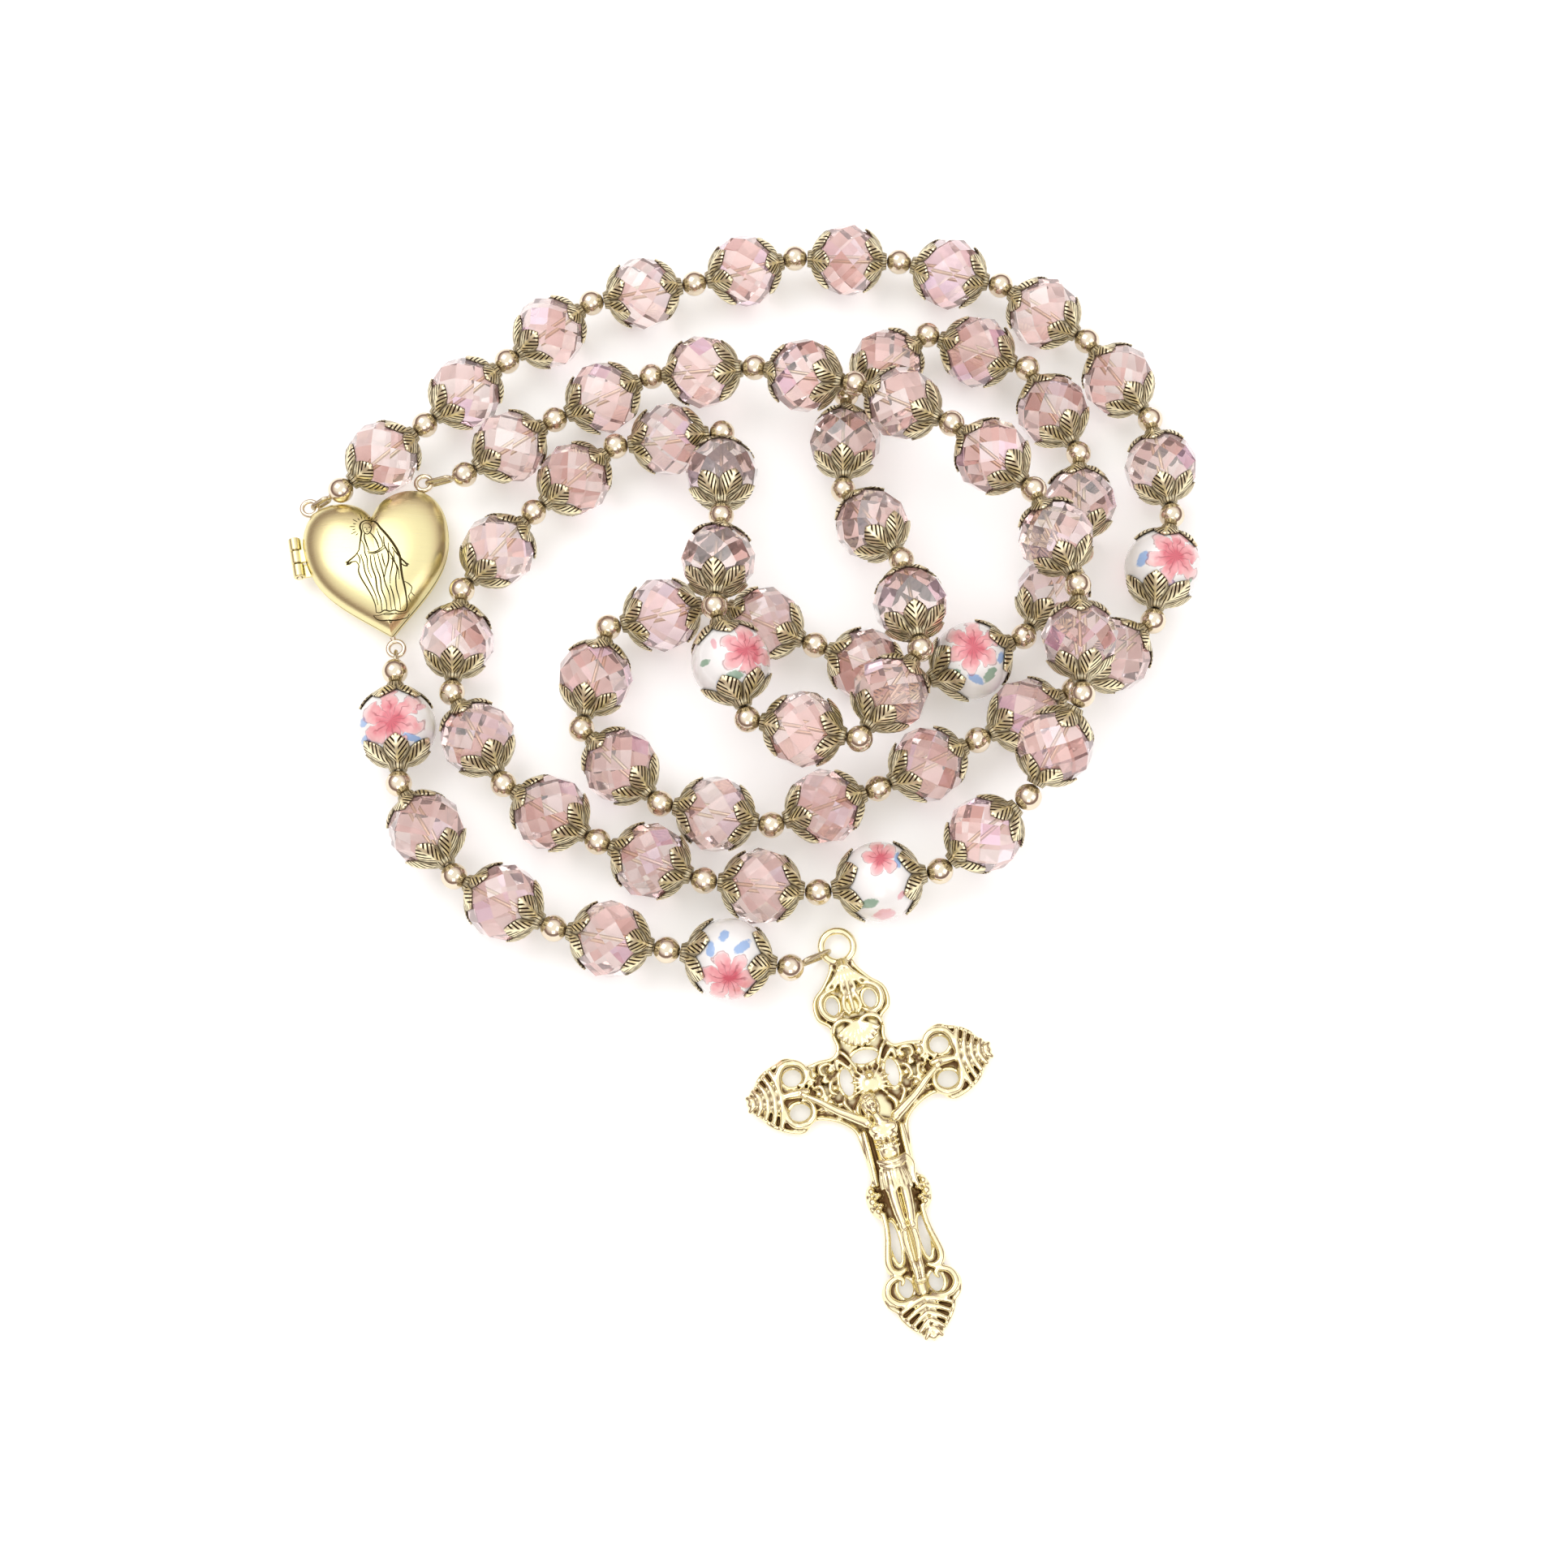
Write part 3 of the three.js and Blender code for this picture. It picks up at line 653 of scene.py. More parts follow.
# Unit shapes: own Y runs along the wire.
def crystalShape():
    work = bmesh.new()
    bmesh.ops.create_cube(work, size=4 * crystal["radius"])
    planes = [(Vector((0, 1, 0)), crystal["halfLength"]), (Vector((0, -1, 0)), crystal["halfLength"])]
    for latitude, offset, cut in crystal["facets"]:
        rise = math.radians(latitude)
        for k in range(crystal["around"]):
            angle = 2 * math.pi * (k + offset) / crystal["around"]
            flat = math.cos(rise)
            planes.append((Vector((flat * math.cos(angle), math.sin(rise), flat * math.sin(angle))),
                           cut * mm))
    for direction, reach in planes:
        everything = work.verts[:] + work.edges[:] + work.faces[:]
        bmesh.ops.bisect_plane(work, geom=everything, plane_co=direction * reach, plane_no=direction,
                               clear_outer=True)
        bmesh.ops.holes_fill(work, edges=[e for e in work.edges if e.is_boundary])
    bmesh.ops.recalc_face_normals(work, faces=work.faces)
    mesh = bpy.data.meshes.new("crystalShape")
    work.to_mesh(mesh)
    work.free()
    bore = meshFrom("bore", *turnedSolid([(wire["bore"], -6 * mm), (wire["bore"], 6 * mm)], 8), smooth=False)
    cutter = hidden(makeObject("bore", bore))
    shape = makeObject("crystalShape", mesh)
    cut = shape.modifiers.new("bore", "BOOLEAN")
    cut.object, cut.solver = cutter, "EXACT"
    shape = finished(shape, "crystalShape")
    bpy.data.objects.remove(cutter)
    random.seed(11)
    facet = shape.data.attributes.new("facet", "FLOAT", "FACE")
    for item in facet.data:
        item.value = random.random()
    shape.data.polygons.foreach_set("use_smooth", [False] * len(shape.data.polygons))
    return hidden(shape)


def turnedSolid(profile, sides):  # an open profile of (radius, height) turned about Y, closed by flat ends
    points, faces = turnedShell(profile, sides)
    faces = faces[:-sides]
    last = (len(profile) - 1) * sides
    return points, faces + [tuple(range(sides))[::-1], tuple(range(last, last + sides))]


leafCap = {"petals": 6, "columns": 8, "rows": 7, "notch": 40, "tip": 61, "start": 15, "sharp": 0.66,
           "wall": 0.24 * mm}


def capShape(kind, name):
    inner = kind["radius"] - (0.14 if kind is crystal else -0.05) * mm
    collarEnd = kind["link"] / 2 - ball["radius"] - 0.04 * mm
    sides = leafCap["petals"] * leafCap["columns"]
    collar, lip = 1.15 * mm, 1.05 * mm
    points, places, dark = [], [], []

    def ring(make):
        for k in range(sides):
            u = 2 * ((k / leafCap["columns"]) % 1.0) - 1
            leaf = (1 - abs(u)) ** leafCap["sharp"]
            point, along, shade = make(u, leaf, 2 * math.pi * k / sides)
            points.append(point)
            places.append((u, along, 0))
            dark.append(shade)

    def at(radius, height, angle):
        return Vector((radius * math.cos(angle), height, radius * math.sin(angle)))

    def onBead(u, leaf, angle, share, out):
        reach = leafCap["notch"] + (leafCap["tip"] - leafCap["notch"]) * leaf
        alpha = math.radians(leafCap["start"] + (reach - leafCap["start"]) * share)
        r = inner + out
        return at(r * math.sin(alpha), r * math.cos(alpha), angle)

    # The collar rings carry light painted shade.
    for radius, height in ((wire["bore"], collarEnd), (lip, collarEnd), (collar, collarEnd - 0.3 * mm)):
        ring(lambda u, leaf, angle: (at(radius, height, angle), 0.0, 0.35))
    for row in range(leafCap["rows"] + 1):
        share = row / leafCap["rows"]
        bulge = math.sin(math.pi * min(1.0, 0.25 + share * 0.75))

        def blade(u, leaf, angle):  # thick along the midrib, with painted shade at the notches and near the collar
            thick = 0.75 + 0.95 * bulge * (1 - u * u) + 0.5 * share**3 + 0.25 * max(0, 1 - abs(u) * 5)
            shade = max(0.0, 0.75 * (abs(u) ** 6) + 0.25 * (1 - share) ** 3)
            return onBead(u, leaf, angle, share, leafCap["wall"] * thick), share * leaf + 0.25 * share, shade

        ring(blade)
    # The inner edge of the tips and the inner side lying on the bead carry dark painted shade.
    for share, out in ((1.0, 0.25), (0.5, 0.0), (0.0, 0.0)):
        ring(lambda u, leaf, angle: (onBead(u, leaf, angle, share, leafCap["wall"] * out), share, 0.9))
    ring(lambda u, leaf, angle: (at(wire["bore"], inner * math.cos(math.radians(leafCap["start"])), angle),
                                 0.0, 0.9))
    mesh = outward(meshFrom(name, points, bandFaces(len(points) // sides, sides)))
    where = mesh.attributes.new("leafPlace", "FLOAT_VECTOR", "POINT")
    where.data.foreach_set("vector", np.array(places, np.float32).ravel())
    mesh.attributes.new("recess", "FLOAT", "POINT").data.foreach_set("value", np.array(dark, np.float32))
    return hidden(makeObject(name, mesh))


def ballShape():
    profile = []
    for i in range(ball["bands"] + 1):
        angle = math.radians(ball["reach"] * (2 * i / ball["bands"] - 1))
        profile.append((ball["radius"] * math.cos(angle), ball["radius"] * math.sin(angle)))
    return hidden(makeObject("ballShape", outward(meshFrom("ballShape",
                                                           *turnedSolid(profile, ball["sides"])))))


shapes = {"crystal": crystalShape(), "crystalCap": capShape(crystal, "crystalCap"),
          "ceramicCap": capShape(ceramic, "ceramicCap"), "ball": ballShape()}
print("unit shapes made", len(shapes["crystal"].data.polygons), len(shapes["crystalCap"].data.polygons))


def place(made, body, slotName, *nodes):
    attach(made, body)
    if nodes:
        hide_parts(*nodes)
    return made


def capFrames(start, end, rng):
    flip = Matrix.Rotation(math.pi, 4, "X")
    return [beadFrame(start, end, rng.random() * anySpin) @ flip,
            beadFrame(start, end, rng.random() * anySpin)]


# The five decades.
rng = random.Random(5)
for decade in range(5):
    balls = loopBalls[11 * decade:11 * decade + 11]
    pairs = list(zip(balls, balls[1:]))
    label = f"decade{decade + 1}"
    crystals = strung(label + "Crystals", [beadFrame(a, b, rng.random() * anySpin) for a, b in pairs],
                      shapes["crystal"], "crystal", seed=decade + 3)
    place(crystals, "root", "crystal", f"decade_{decade + 1}_strand")
    caps = strung(label + "LeafCaps", [f for a, b in pairs for f in capFrames(a, b, rng)],
                  shapes["crystalCap"], "leaf")
    place(caps, "root", "antique_gold")
    line = [balls[0], *balls, balls[-1]]
    turned = [beadFrame(a, c) for a, c in zip(line, line[2:])]
    for f, centre in zip(turned, balls):
        f.translation = centre
    place(strung(label + "Balls", turned, shapes["ball"], "polished"), "root", "polished_gold")
print("decades strung")


# Painted ceramic beads.
cameraTurn = scene.camera.rotation_euler.to_matrix()
ceramics = {  # flower x, y, size, turn, petals; then dabs x, y, long, wide, turn, colour, all in bead radii
    "pater1": [(0.18, 0.22, 0.76, 0.4, 6), [(-0.62, 0.18, 0.26, 0.13, 1.1, "blue"),
                                            (-0.35, -0.42, 0.26, 0.12, 0.6, "blue"),
                                         (0.1, -0.5, 0.2, 0.1, 2.4, "blue"),
                                         (0.62, -0.28, 0.2, 0.09, 1.2, "green")]],
    "pater2": [(-0.02, 0.3, 0.72, 1.2, 6), [(0.42, -0.4, 0.26, 0.13, 0.9, "green"),
                                            (0.05, -0.5, 0.26, 0.12, -0.5, "blue"),
                                          (-0.5, -0.36, 0.2, 0.1, 0.4, "green"),
                                          (0.7, 0.05, 0.18, 0.09, 1.3, "blue")]],
    "pater3": [(0.42, 0.26, 0.7, 2.0, 6), [(0.12, -0.36, 0.26, 0.13, 0.2, "green"),
                                           (-0.62, -0.05, 0.16, 0.09, 0.5, "green"),
                                         (-0.4, 0.42, 0.15, 0.08, 1.9, "rose"),
                                         (-0.2, -0.62, 0.18, 0.1, 2.2, "blue")]],
    "pater4": [(0.0, 0.62, 0.46, 0.2, 5), [(-0.28, -0.5, 0.26, 0.13, 0.3, "green"),
                                           (0.1, -0.78, 0.3, 0.16, 0.1, "rose"),
                                         (0.44, 0.56, 0.2, 0.12, 1.6, "blue"),
                                         (0.52, -0.3, 0.16, 0.08, 1.0, "rose")]],
    "dropPater1": [(0.02, 0.16, 0.8, 0.9, 6), [(-0.72, 0.12, 0.16, 0.12, 0.9, "blue"),
                                               (-0.64, -0.32, 0.24, 0.13, 0.5, "blue"),
                                             (0.52, -0.28, 0.28, 0.11, -0.4, "blue"),
                                             (0.66, 0.5, 0.14, 0.1, 0.4, "rose")]],
    "dropPater2": [(0.02, -0.4, 0.68, 0.7, 6), [(-0.1, 0.62, 0.17, 0.12, 0.8, "blue"),
                                                (0.36, 0.36, 0.26, 0.14, 0.6, "blue"),
                                             (-0.42, 0.3, 0.2, 0.12, 1.5, "blue"),
                                             (0.6, -0.1, 0.14, 0.08, 0.4, "green")]],
}


def ceramicBead(name, start, end):
    r, half = ceramic["radius"], ceramic["halfLength"]
    reach = math.asin(half / r)
    profile = [(wire["bore"], -half)]
    profile += [(r * math.cos(a), r * math.sin(a)) for a in np.linspace(-reach, reach, ceramic["bands"])]
    profile += [(wire["bore"], half)]
    points, faces = turnedShell(profile, ceramic["sides"])
    where = beadFrame(start, end)
    centre = where.translation
    placed = [where @ Vector(p) for p in points]
    mesh = outward(meshFrom(name, placed, faces))
    back = cameraTurn.inverted()
    paint = np.array([back @ ((p - centre) / r) for p in placed], np.float32)
    mesh.attributes.new("paintPlace", "FLOAT_VECTOR", "POINT").data.foreach_set("vector", paint.ravel())
    made = makeObject(name, mesh)
    mesh.materials.append(ceramicMaterial(name + "Glaze", *ceramics[name]))
    sharpAbove(made, 50)
    return made


for k in range(4):
    start, end = loopBalls[11 * k + 10], loopBalls[11 * k + 11]
    place(ceramicBead(f"pater{k + 1}", start, end), f"pater_{k + 1}", "ceramic", f"pater_{k + 1}_bead")
    caps = strung(f"pater{k + 1}LeafCaps", capFrames(start, end, rng), shapes["ceramicCap"], "leaf")
    place(caps, "root", "antique_gold", f"pater_{k + 1}_cap_a", f"pater_{k + 1}_cap_b")
print("ceramic beads painted")

# The drop: each link, bead and ball rides on its own body.
dropNodes = ["drop_pater_1", "drop_crystal_1", "drop_crystal_2", "drop_crystal_3", "drop_pater_2"]
for k, (kind, cadName) in enumerate(zip(dropKinds, dropNodes)):
    start, end = dropBalls[k], dropBalls[k + 1]
    label = "".join(word.capitalize() if i else word for i, word in enumerate(cadName.split("_")))
    if kind is ceramic:
        place(ceramicBead(label, start, end), cadName, "ceramic", cadName + "_bead")
    else:
        bead = strung(label, [beadFrame(start, end, rng.random() * anySpin)], shapes["crystal"], "crystal",
                      seed=20 + k)
        place(bead, cadName, "crystal", cadName + "_bead")
    unit = shapes["ceramicCap" if kind is ceramic else "crystalCap"]
    caps = strung(label + "LeafCaps", capFrames(start, end, rng), unit, "leaf")
    place(caps, f"drop_link_{k + 1}", "antique_gold", cadName + "_cap_a", cadName + "_cap_b")
    along = (end - start).normalized() * (ball["radius"] + 0.02 * mm)
    straight = [(start + along).lerp(end - along, t / 6) for t in range(7)]
    rod = makeObject(f"dropWire{k + 1}", joinMeshes(f"dropWire{k + 1}",
                                                    [tubeShell(straight, wire["radius"], 12)]))
    rod.data.materials.append(finishes["wire"])
    place(rod, f"drop_link_{k + 1}", "wire", f"drop_wire_{k + 1}")
dropBallBodies = ["drop_top", "drop_joint_2", "drop_joint_3", "drop_joint_4", "drop_joint_5", "drop_end"]
for k, body in enumerate(dropBallBodies):
    toward = dropBalls[min(k + 1, 5)] if k < 5 else 2 * dropBalls[5] - dropBalls[4]
    spot = beadFrame(dropBalls[k], toward)
    spot.translation = dropBalls[k]
    place(strung(f"dropBall{k + 1}", [spot], shapes["ball"], "polished"), body, "polished_gold",
          f"drop_ball_{k + 1}")
print("drop strung")


# Wire loops between the balls and their eyelets.
def wireLoop(name, ballAt, eyeAt, eyeRadius, bend, body, cadName):
    flat = ballAt - eyeAt
    flat.z = 0
    wall = eyeAt + flat.normalized() * eyeRadius
    along = (wall - ballAt).normalized()
    start = ballAt + along * (ball["radius"] + wire["gap"] + bend + wire["radius"])
    stretch = (wall - start).length
    side = (Vector((0, 0, 1)) - along * along.z).normalized()
    ring, steps = [], 12  # two half turns with straight runs between them
    for first, shift in ((math.pi / 2, 0.0), (-math.pi / 2, stretch)):
        for k in range(steps + 1):
            t = first + math.pi * k / steps
            ring.append(start + along * (shift + bend * math.cos(t)) + side * bend * math.sin(t))
    stem = [ballAt + along * (ball["radius"] - 0.1 * mm), start - along * bend]
    shells = [tubeShell(ring, wire["radius"], 10, closed=True), tubeShell(stem, wire["radius"] * 1.1, 10)]
    made = makeObject(name, outward(joinMeshes(name, shells)))
    made.data.materials.append(finishes["wire"])
    place(made, body, "wire", cadName)


hookBend = eyelet["wire"] + wire["radius"] + 0.06 * mm
crucifix = {"x": 10.8 * mm, "y": -25.5 * mm, "turn": 12.3}
crossFrame = Matrix.Translation((crucifix["x"], crucifix["y"], 0)) @ rotation(crucifix["turn"], "Z")
eye = {"radius": 1.95 * mm, "tube": 0.45 * mm, "height": 1.3 * mm, "bend": 0.86 * mm}
eyeCentre = crossFrame @ Vector((0, 0, eye["height"]))
for name, ballAt, side, body, cadName in (("wireGuardLeft", loopBalls[0], "left", "root", "wire_guard_left"),
                                          ("wireGuardRight", loopBalls[-1], "right", "root",
                                           "wire_guard_right"),
                                          ("dropLoopTop", dropBalls[0], "drop", "drop_top", "drop_loop_top")):
    wireLoop(name, ballAt, eyeletAt(side), eyelet["radius"], hookBend, body, cadName)
wireLoop("dropLoopEnd", dropBalls[-1], eyeCentre, eye["radius"], eye["bend"], "drop_end", "drop_loop_end")

# The locket, in millimetres in its own frame.
heart = {"halfWidth": 9.2, "tip": -9.6, "cleft": 7.0, "lobe": 9.8, "steps": 16}


def bezier(a, b, c, d, steps):
    for i in range(steps):
        t = i / steps
        yield tuple((1 - t) ** 3 * p + 3 * t * (1 - t) ** 2 * q + 3 * t * t * (1 - t) * r + t**3 * s
                    for p, q, r, s in zip(a, b, c, d))


def heartOutline():
    w, tip, cleft, lobe, n = heart.values()
    right = [*bezier((0, tip), (w * 0.5, tip + 4.4), (w, -2.4), (w, lobe * 0.42), n),
             *bezier((w, lobe * 0.42), (w, lobe * 0.74), (w * 0.83, lobe * 0.99), (w * 0.53, lobe), n),
             *bezier((w * 0.53, lobe), (w * 0.34, lobe), (w * 0.13, lobe * 0.95), (0, cleft), n)]
    left = [(-x, y) for x, y in right[1:]][::-1]
    return [*right, (0, cleft), *left]


heartLine = heartOutline()


def heartShell(levels, face):  # levels of (rise from the parting plane, scale of the outline)
    count = len(heartLine)
    points = [Vector((x * s, y * s, locket["parting"] + face * rise)) for rise, s in levels for x,
              y in heartLine]
    faces = bandFaces(len(levels), count, closed=False)
    first, last = len(points), len(points) + 1
    points += [Vector((0, 0, locket["parting"] + face * rise)) for rise in (levels[0][0], levels[-1][0])]
    for k in range(count):
        n = (k + 1) % count
        faces.append((first, n, k))
        faces.append((last, (len(levels) - 1) * count + k, (len(levels) - 1) * count + n))
    return points, faces


def domeRise(s):
    return 0.45 + 2.55 * (1 - s**3.4) ** 0.6


domeScales = [0.985, 0.97, 0.95, 0.92, 0.88, 0.83, 0.77, 0.7, 0.6, 0.5, 0.4, 0.28, 0.15, 0.05]
domeLevels = [(2.45, 0.05), (2.45, 0.42), (1.95, 0.72), (1.2, 0.87), (0.15, 0.93), (0.15, 0.995), (0.2, 1.0),
              (0.4, 1.0),
              (0.45, 0.995), *[(domeRise(s), s) for s in domeScales]]
hinge = {"x": -10.2, "y": 3.6, "outer": 0.75, "bore": 0.42, "pin": 0.3, "knuckle": 1.7, "gap": 0.15,
         "leaf": 0.35}


def moved(shell, matrix):
    points, faces = shell
    return [matrix @ Vector(p) for p in points], faces


def knuckleShells(where, face):
    half = hinge["knuckle"] / 2
    y = hinge["y"] + where * (hinge["knuckle"] + hinge["gap"])
    rim = 0.1
    profile = [(hinge["bore"], -half), (hinge["outer"] - rim, -half), (hinge["outer"], -half + rim),
               (hinge["outer"], half - rim), (hinge["outer"] - rim, half), (hinge["bore"], half)]
    tube = moved(turnedShell(profile, 24), Matrix.Translation((hinge["x"], y, locket["parting"])))
    left, right = hinge["x"] + hinge["bore"] + 0.1, -heart["halfWidth"] + 0.7
    low, high = 0.15, 0.15 + hinge["leaf"]
    corners = [Vector((x, y + side * half, locket["parting"] + face * z))
               for z in (low, high) for side in (-1, 1) for x in (left, right)]
    return [tube, (corners, boxFaces)]


def toLocket(mesh):
    mesh.transform(locketFrame @ Matrix.Scale(mm, 4))
    return outward(mesh)


def locketPiece(name, shells, finish, body, slotName, *nodes, sharp=40):
    mesh = bpy.data.meshes.new(name)
    work = bmesh.new()
    for shell in shells:
        part = toLocket(meshFrom("part", *shell))
        work.from_mesh(part)
        bpy.data.meshes.remove(part)
    work.to_mesh(mesh)
    work.free()
    mesh.polygons.foreach_set("use_smooth", [True] * len(mesh.polygons))
    mesh.materials.append(finishes[finish])
    made = makeObject(name, mesh)
    sharpAbove(made, sharp)
    return place(made, body, slotName, *nodes)


backKnuckles = knuckleShells(-1, -1) + knuckleShells(1, -1)
locketPiece("locketBackShell", [heartShell(domeLevels, -1), *backKnuckles], "satin", "root", "satin_gold",
            "locket_back_shell")
cover = locketPiece("locketCover", [heartShell(domeLevels, 1), *knuckleShells(0, 1)], "satin", "locket_lid",
                    "satin_gold",
                    "locket_front_cover")
pinHalf = (3 * hinge["knuckle"] + 2 * hinge["gap"] + 0.2) / 2
pinProfile = [(0.01, -pinHalf), (hinge["pin"] - 0.05, -pinHalf), (hinge["pin"], -pinHalf + 0.06),
              (hinge["pin"], pinHalf - 0.06), (hinge["pin"] - 0.05, pinHalf), (0.01, pinHalf)]
pin = moved(turnedSolid(pinProfile, 16), Matrix.Translation((hinge["x"], hinge["y"], locket["parting"])))
locketPiece("locketHingePin", [pin], "polished", "root", "polished_gold", "locket_hinge_pin")
frameLevels = [(0.9, 0.05), (0.9, 0.72), (0.35, 0.725), (0.3, 0.74), (0.3, 0.83), (0.36, 0.855), (0.5, 0.865),
               (1.2, 0.86), (1.25, 0.85), (1.25, 0.05)]
picture = [(0.62, 0.05), (0.62, 0.70), (0.66, 0.715), (0.86, 0.715), (0.89, 0.70), (0.89, 0.05)]
for side, face, body in (("Back", -1, "root"), ("Front", 1, "locket_lid")):
    cadName = f"locket_{side.lower()}_picture_frame"
    locketPiece(f"locket{side}Frame", [heartShell(frameLevels, face)], "polished", body, "polished_gold",
                cadName)
    locketPiece(f"locket{side}Card", [heartShell(picture, face)], "card", body, "polished_gold")
for side in eyelets:
    centre = Vector(eyelets[side])
    ring = [centre + Vector((x, y, 0)) * eyelet["radius"] / mm for x, y in circle(32)]
    edge = min((Vector((x, y, locket["parting"])) for x, y in heartLine), key=lambda p: (p - centre).length)
    towards = (edge - centre).normalized()
    stem = [centre + towards * (0.95 + t * ((edge - centre).length - 1.1) / 4) for t in range(5)]
    shells = [tubeShell(ring, eyelet["wire"] / mm, 12, closed=True),
              tubeShell(stem, [0.3, 0.3, 0.34, 0.4, 0.44], 12)]
    locketPiece(f"locketRing{side.capitalize()}", shells, "polished", "root", "polished_gold",
                f"locket_ring_{side}")
print("locket made")

# The cover's engraved figure, a robed figure on a globe, drawn as thin near-black tubes laid on the cover
# that paint the shade of the cut lines: the width, then x and y of each point.
engraving = [
    [0.1, -0.35, 5.75, -0.85, 5.7, -1.3, 5.35, -1.45, 4.75, -1.35, 4.1, -1.5, 3.5, -1.75, 2.6, -2, 1.7],
    [0.13, -0.35, 5.75, 0.25, 5.55, 0.75, 4.9, 1.05, 4.2, 1.5, 3.4, 2.05, 2.3, 2.6, 0.9, 2.85, -0.3, 2.75,
     -1.6, 2.7, -3, 2.75, -4.6, 2.6, -6.3, 2.2, -7],
    [0.06, -1.05, 5.2, -0.6, 5.35, -0.15, 5, -0.1, 4.4, -0.35, 3.85, -0.7, 3.65, -1, 3.95, -1.15, 4.5, -1.05,
     5.2],
    [0.045, -0.95, 4.62, -0.8, 4.68, -0.68, 4.62],
    [0.045, -0.45, 4.58, -0.33, 4.62, -0.2, 4.55],
    [0.045, -0.6, 4.6, -0.68, 4.3, -0.58, 4.25],
    [0.045, -0.75, 4.05, -0.62, 4, -0.48, 4.03],
    [0.08, -0.35, 3.85, 0.05, 3.2, 0.35, 2.3, 0.5, 1.3],
    [0.08, -0.95, 3.95, -1.1, 3.3, -1, 2.4, -0.8, 1.3],
    [0.09, -2, 1.7, -2.5, 1.1, -3, 0.75, -3.5, 0.45, -3.75, 0.1, -3.45, 0.05, -3.1, 0.25, -2.6, 0.2],
    [0.06, -3.5, 0.45, -3.95, 0.35],
    [0.06, -3.55, 0.2, -3.9, -0.05],
    [0.08, -2.6, 0.2, -2.35, -0.4, -2.5, -1.2, -2.3, -2.2, -1.9, -3.3, -1.45, -4.6, -1.2, -5.8, -1.25, -6.7],
    [0.09, 2.1, 1.2, 2.5, 0.3, 3, -0.6, 3.4, -1.2, 3.55, -1.6, 3.2, -1.55, 2.85, -1.2],
    [0.06, 3.4, -1.2, 3.8, -1.5],
    [0.07, -1, 1.2, -0.3, 1, 0.4, 1.15, 1.1, 1.6],
    [0.07, -0.95, 1, -0.3, 0.8, 0.45, 0.95, 1.2, 1.3],
    [0.08, 1.3, 2.9, 1.2, 1.7, 1.5, 0.6, 1.35, -0.6, 0.9, -1.6, 0.55, -2.6],
    [0.07, 1.75, 1.9, 1.65, 0.8, 1.95, -0.2, 1.7, -1.4, 1.3, -2.5, 1.1, -3.6],
    [0.07, 2.2, 0.6, 2.1, -0.6, 2.25, -1.8, 1.9, -3, 1.75, -4.4, 1.85, -5.8, 1.7, -6.9],
    [0.08, -0.75, 0.7, -0.8, -0.8, -0.55, -2.4, -0.6, -4, -0.4, -5.6, -0.5, -6.8],
    [0.07, -0.3, 0.6, -0.25, -1, 0, -2.6, -0.05, -4.2, 0.2, -5.8, 0.1, -6.9],
    [0.07, 0.2, 0.7, 0.3, -0.6, 0.45, -1.9, 0.5, -3.4, 0.75, -5, 0.65, -6.9],
    [0.07, 0.7, 0.6, 0.75, -0.5, 0.85, -1.3],
    [0.07, 1.05, -3.8, 1.2, -5.2, 1.15, -6.9],
    [0.07, -1.9, 1, -1.75, -0.2, -1.7, -1.5, -1.35, -3, -0.95, -4.6, -0.85, -6],
    [0.08, -1.3, -6.75, -0.8, -6.95, -0.2, -6.85, 0.4, -7.05, 1, -6.95, 1.6, -7.1, 2.2, -7],
    [0.09, -1.7, -7, -1.3, -7.55, -0.5, -7.95, 0.45, -8.1, 1.3, -7.95, 2.1, -7.6, 2.6, -7.15],
    [0.06, -0.4, -7.3, 0.1, -7.45, 0.7, -7.4, 1.2, -7.25],
    [0.06, 0.1, -8.1, 0.25, -8.35, 0.5, -8.1],
    [0.06, 2.9, -3.6, 3.3, -3.9, 3.6, -4.4, 3.4, -4.9, 3.7, -5.3],
    [0.06, 3.4, -4.9, 3, -5.4, 3.1, -6],
    [0.06, -1.6, 3.2, -1.3, 2.2, -1.35, 1.2, -1.2, 0.2, -1.3, -1, -1.05, -2.4],
    [0.06, 0.6, 4.2, 0.75, 3.2, 1, 2.3, 0.95, 1.6],
    [0.06, 1.7, -0.2, 2.1, -0.9, 2.4, -1.9, 2.3, -3.2],
    [0.05, -3.2, 0.3, -3.45, 0.25, -3.7, 0.28],
    [0.06, -2.3, 1.2, -2.1, 0.5, -2.2, -0.2],
    [0.05, -1.7, -6.95, -1, -7.2, 0, -7.25, 1, -7.35, 1.8, -7.3, 2.4, -7.1],
]
rays = {"centre": (-0.72, 4.75), "inner": 1.35, "outer": (1.7, 2.05), "from": 25, "to": 215, "count": 13,
        "width": 0.05}
groove = {"swell": 1.3, "flatness": 0.4, "sides": 6}


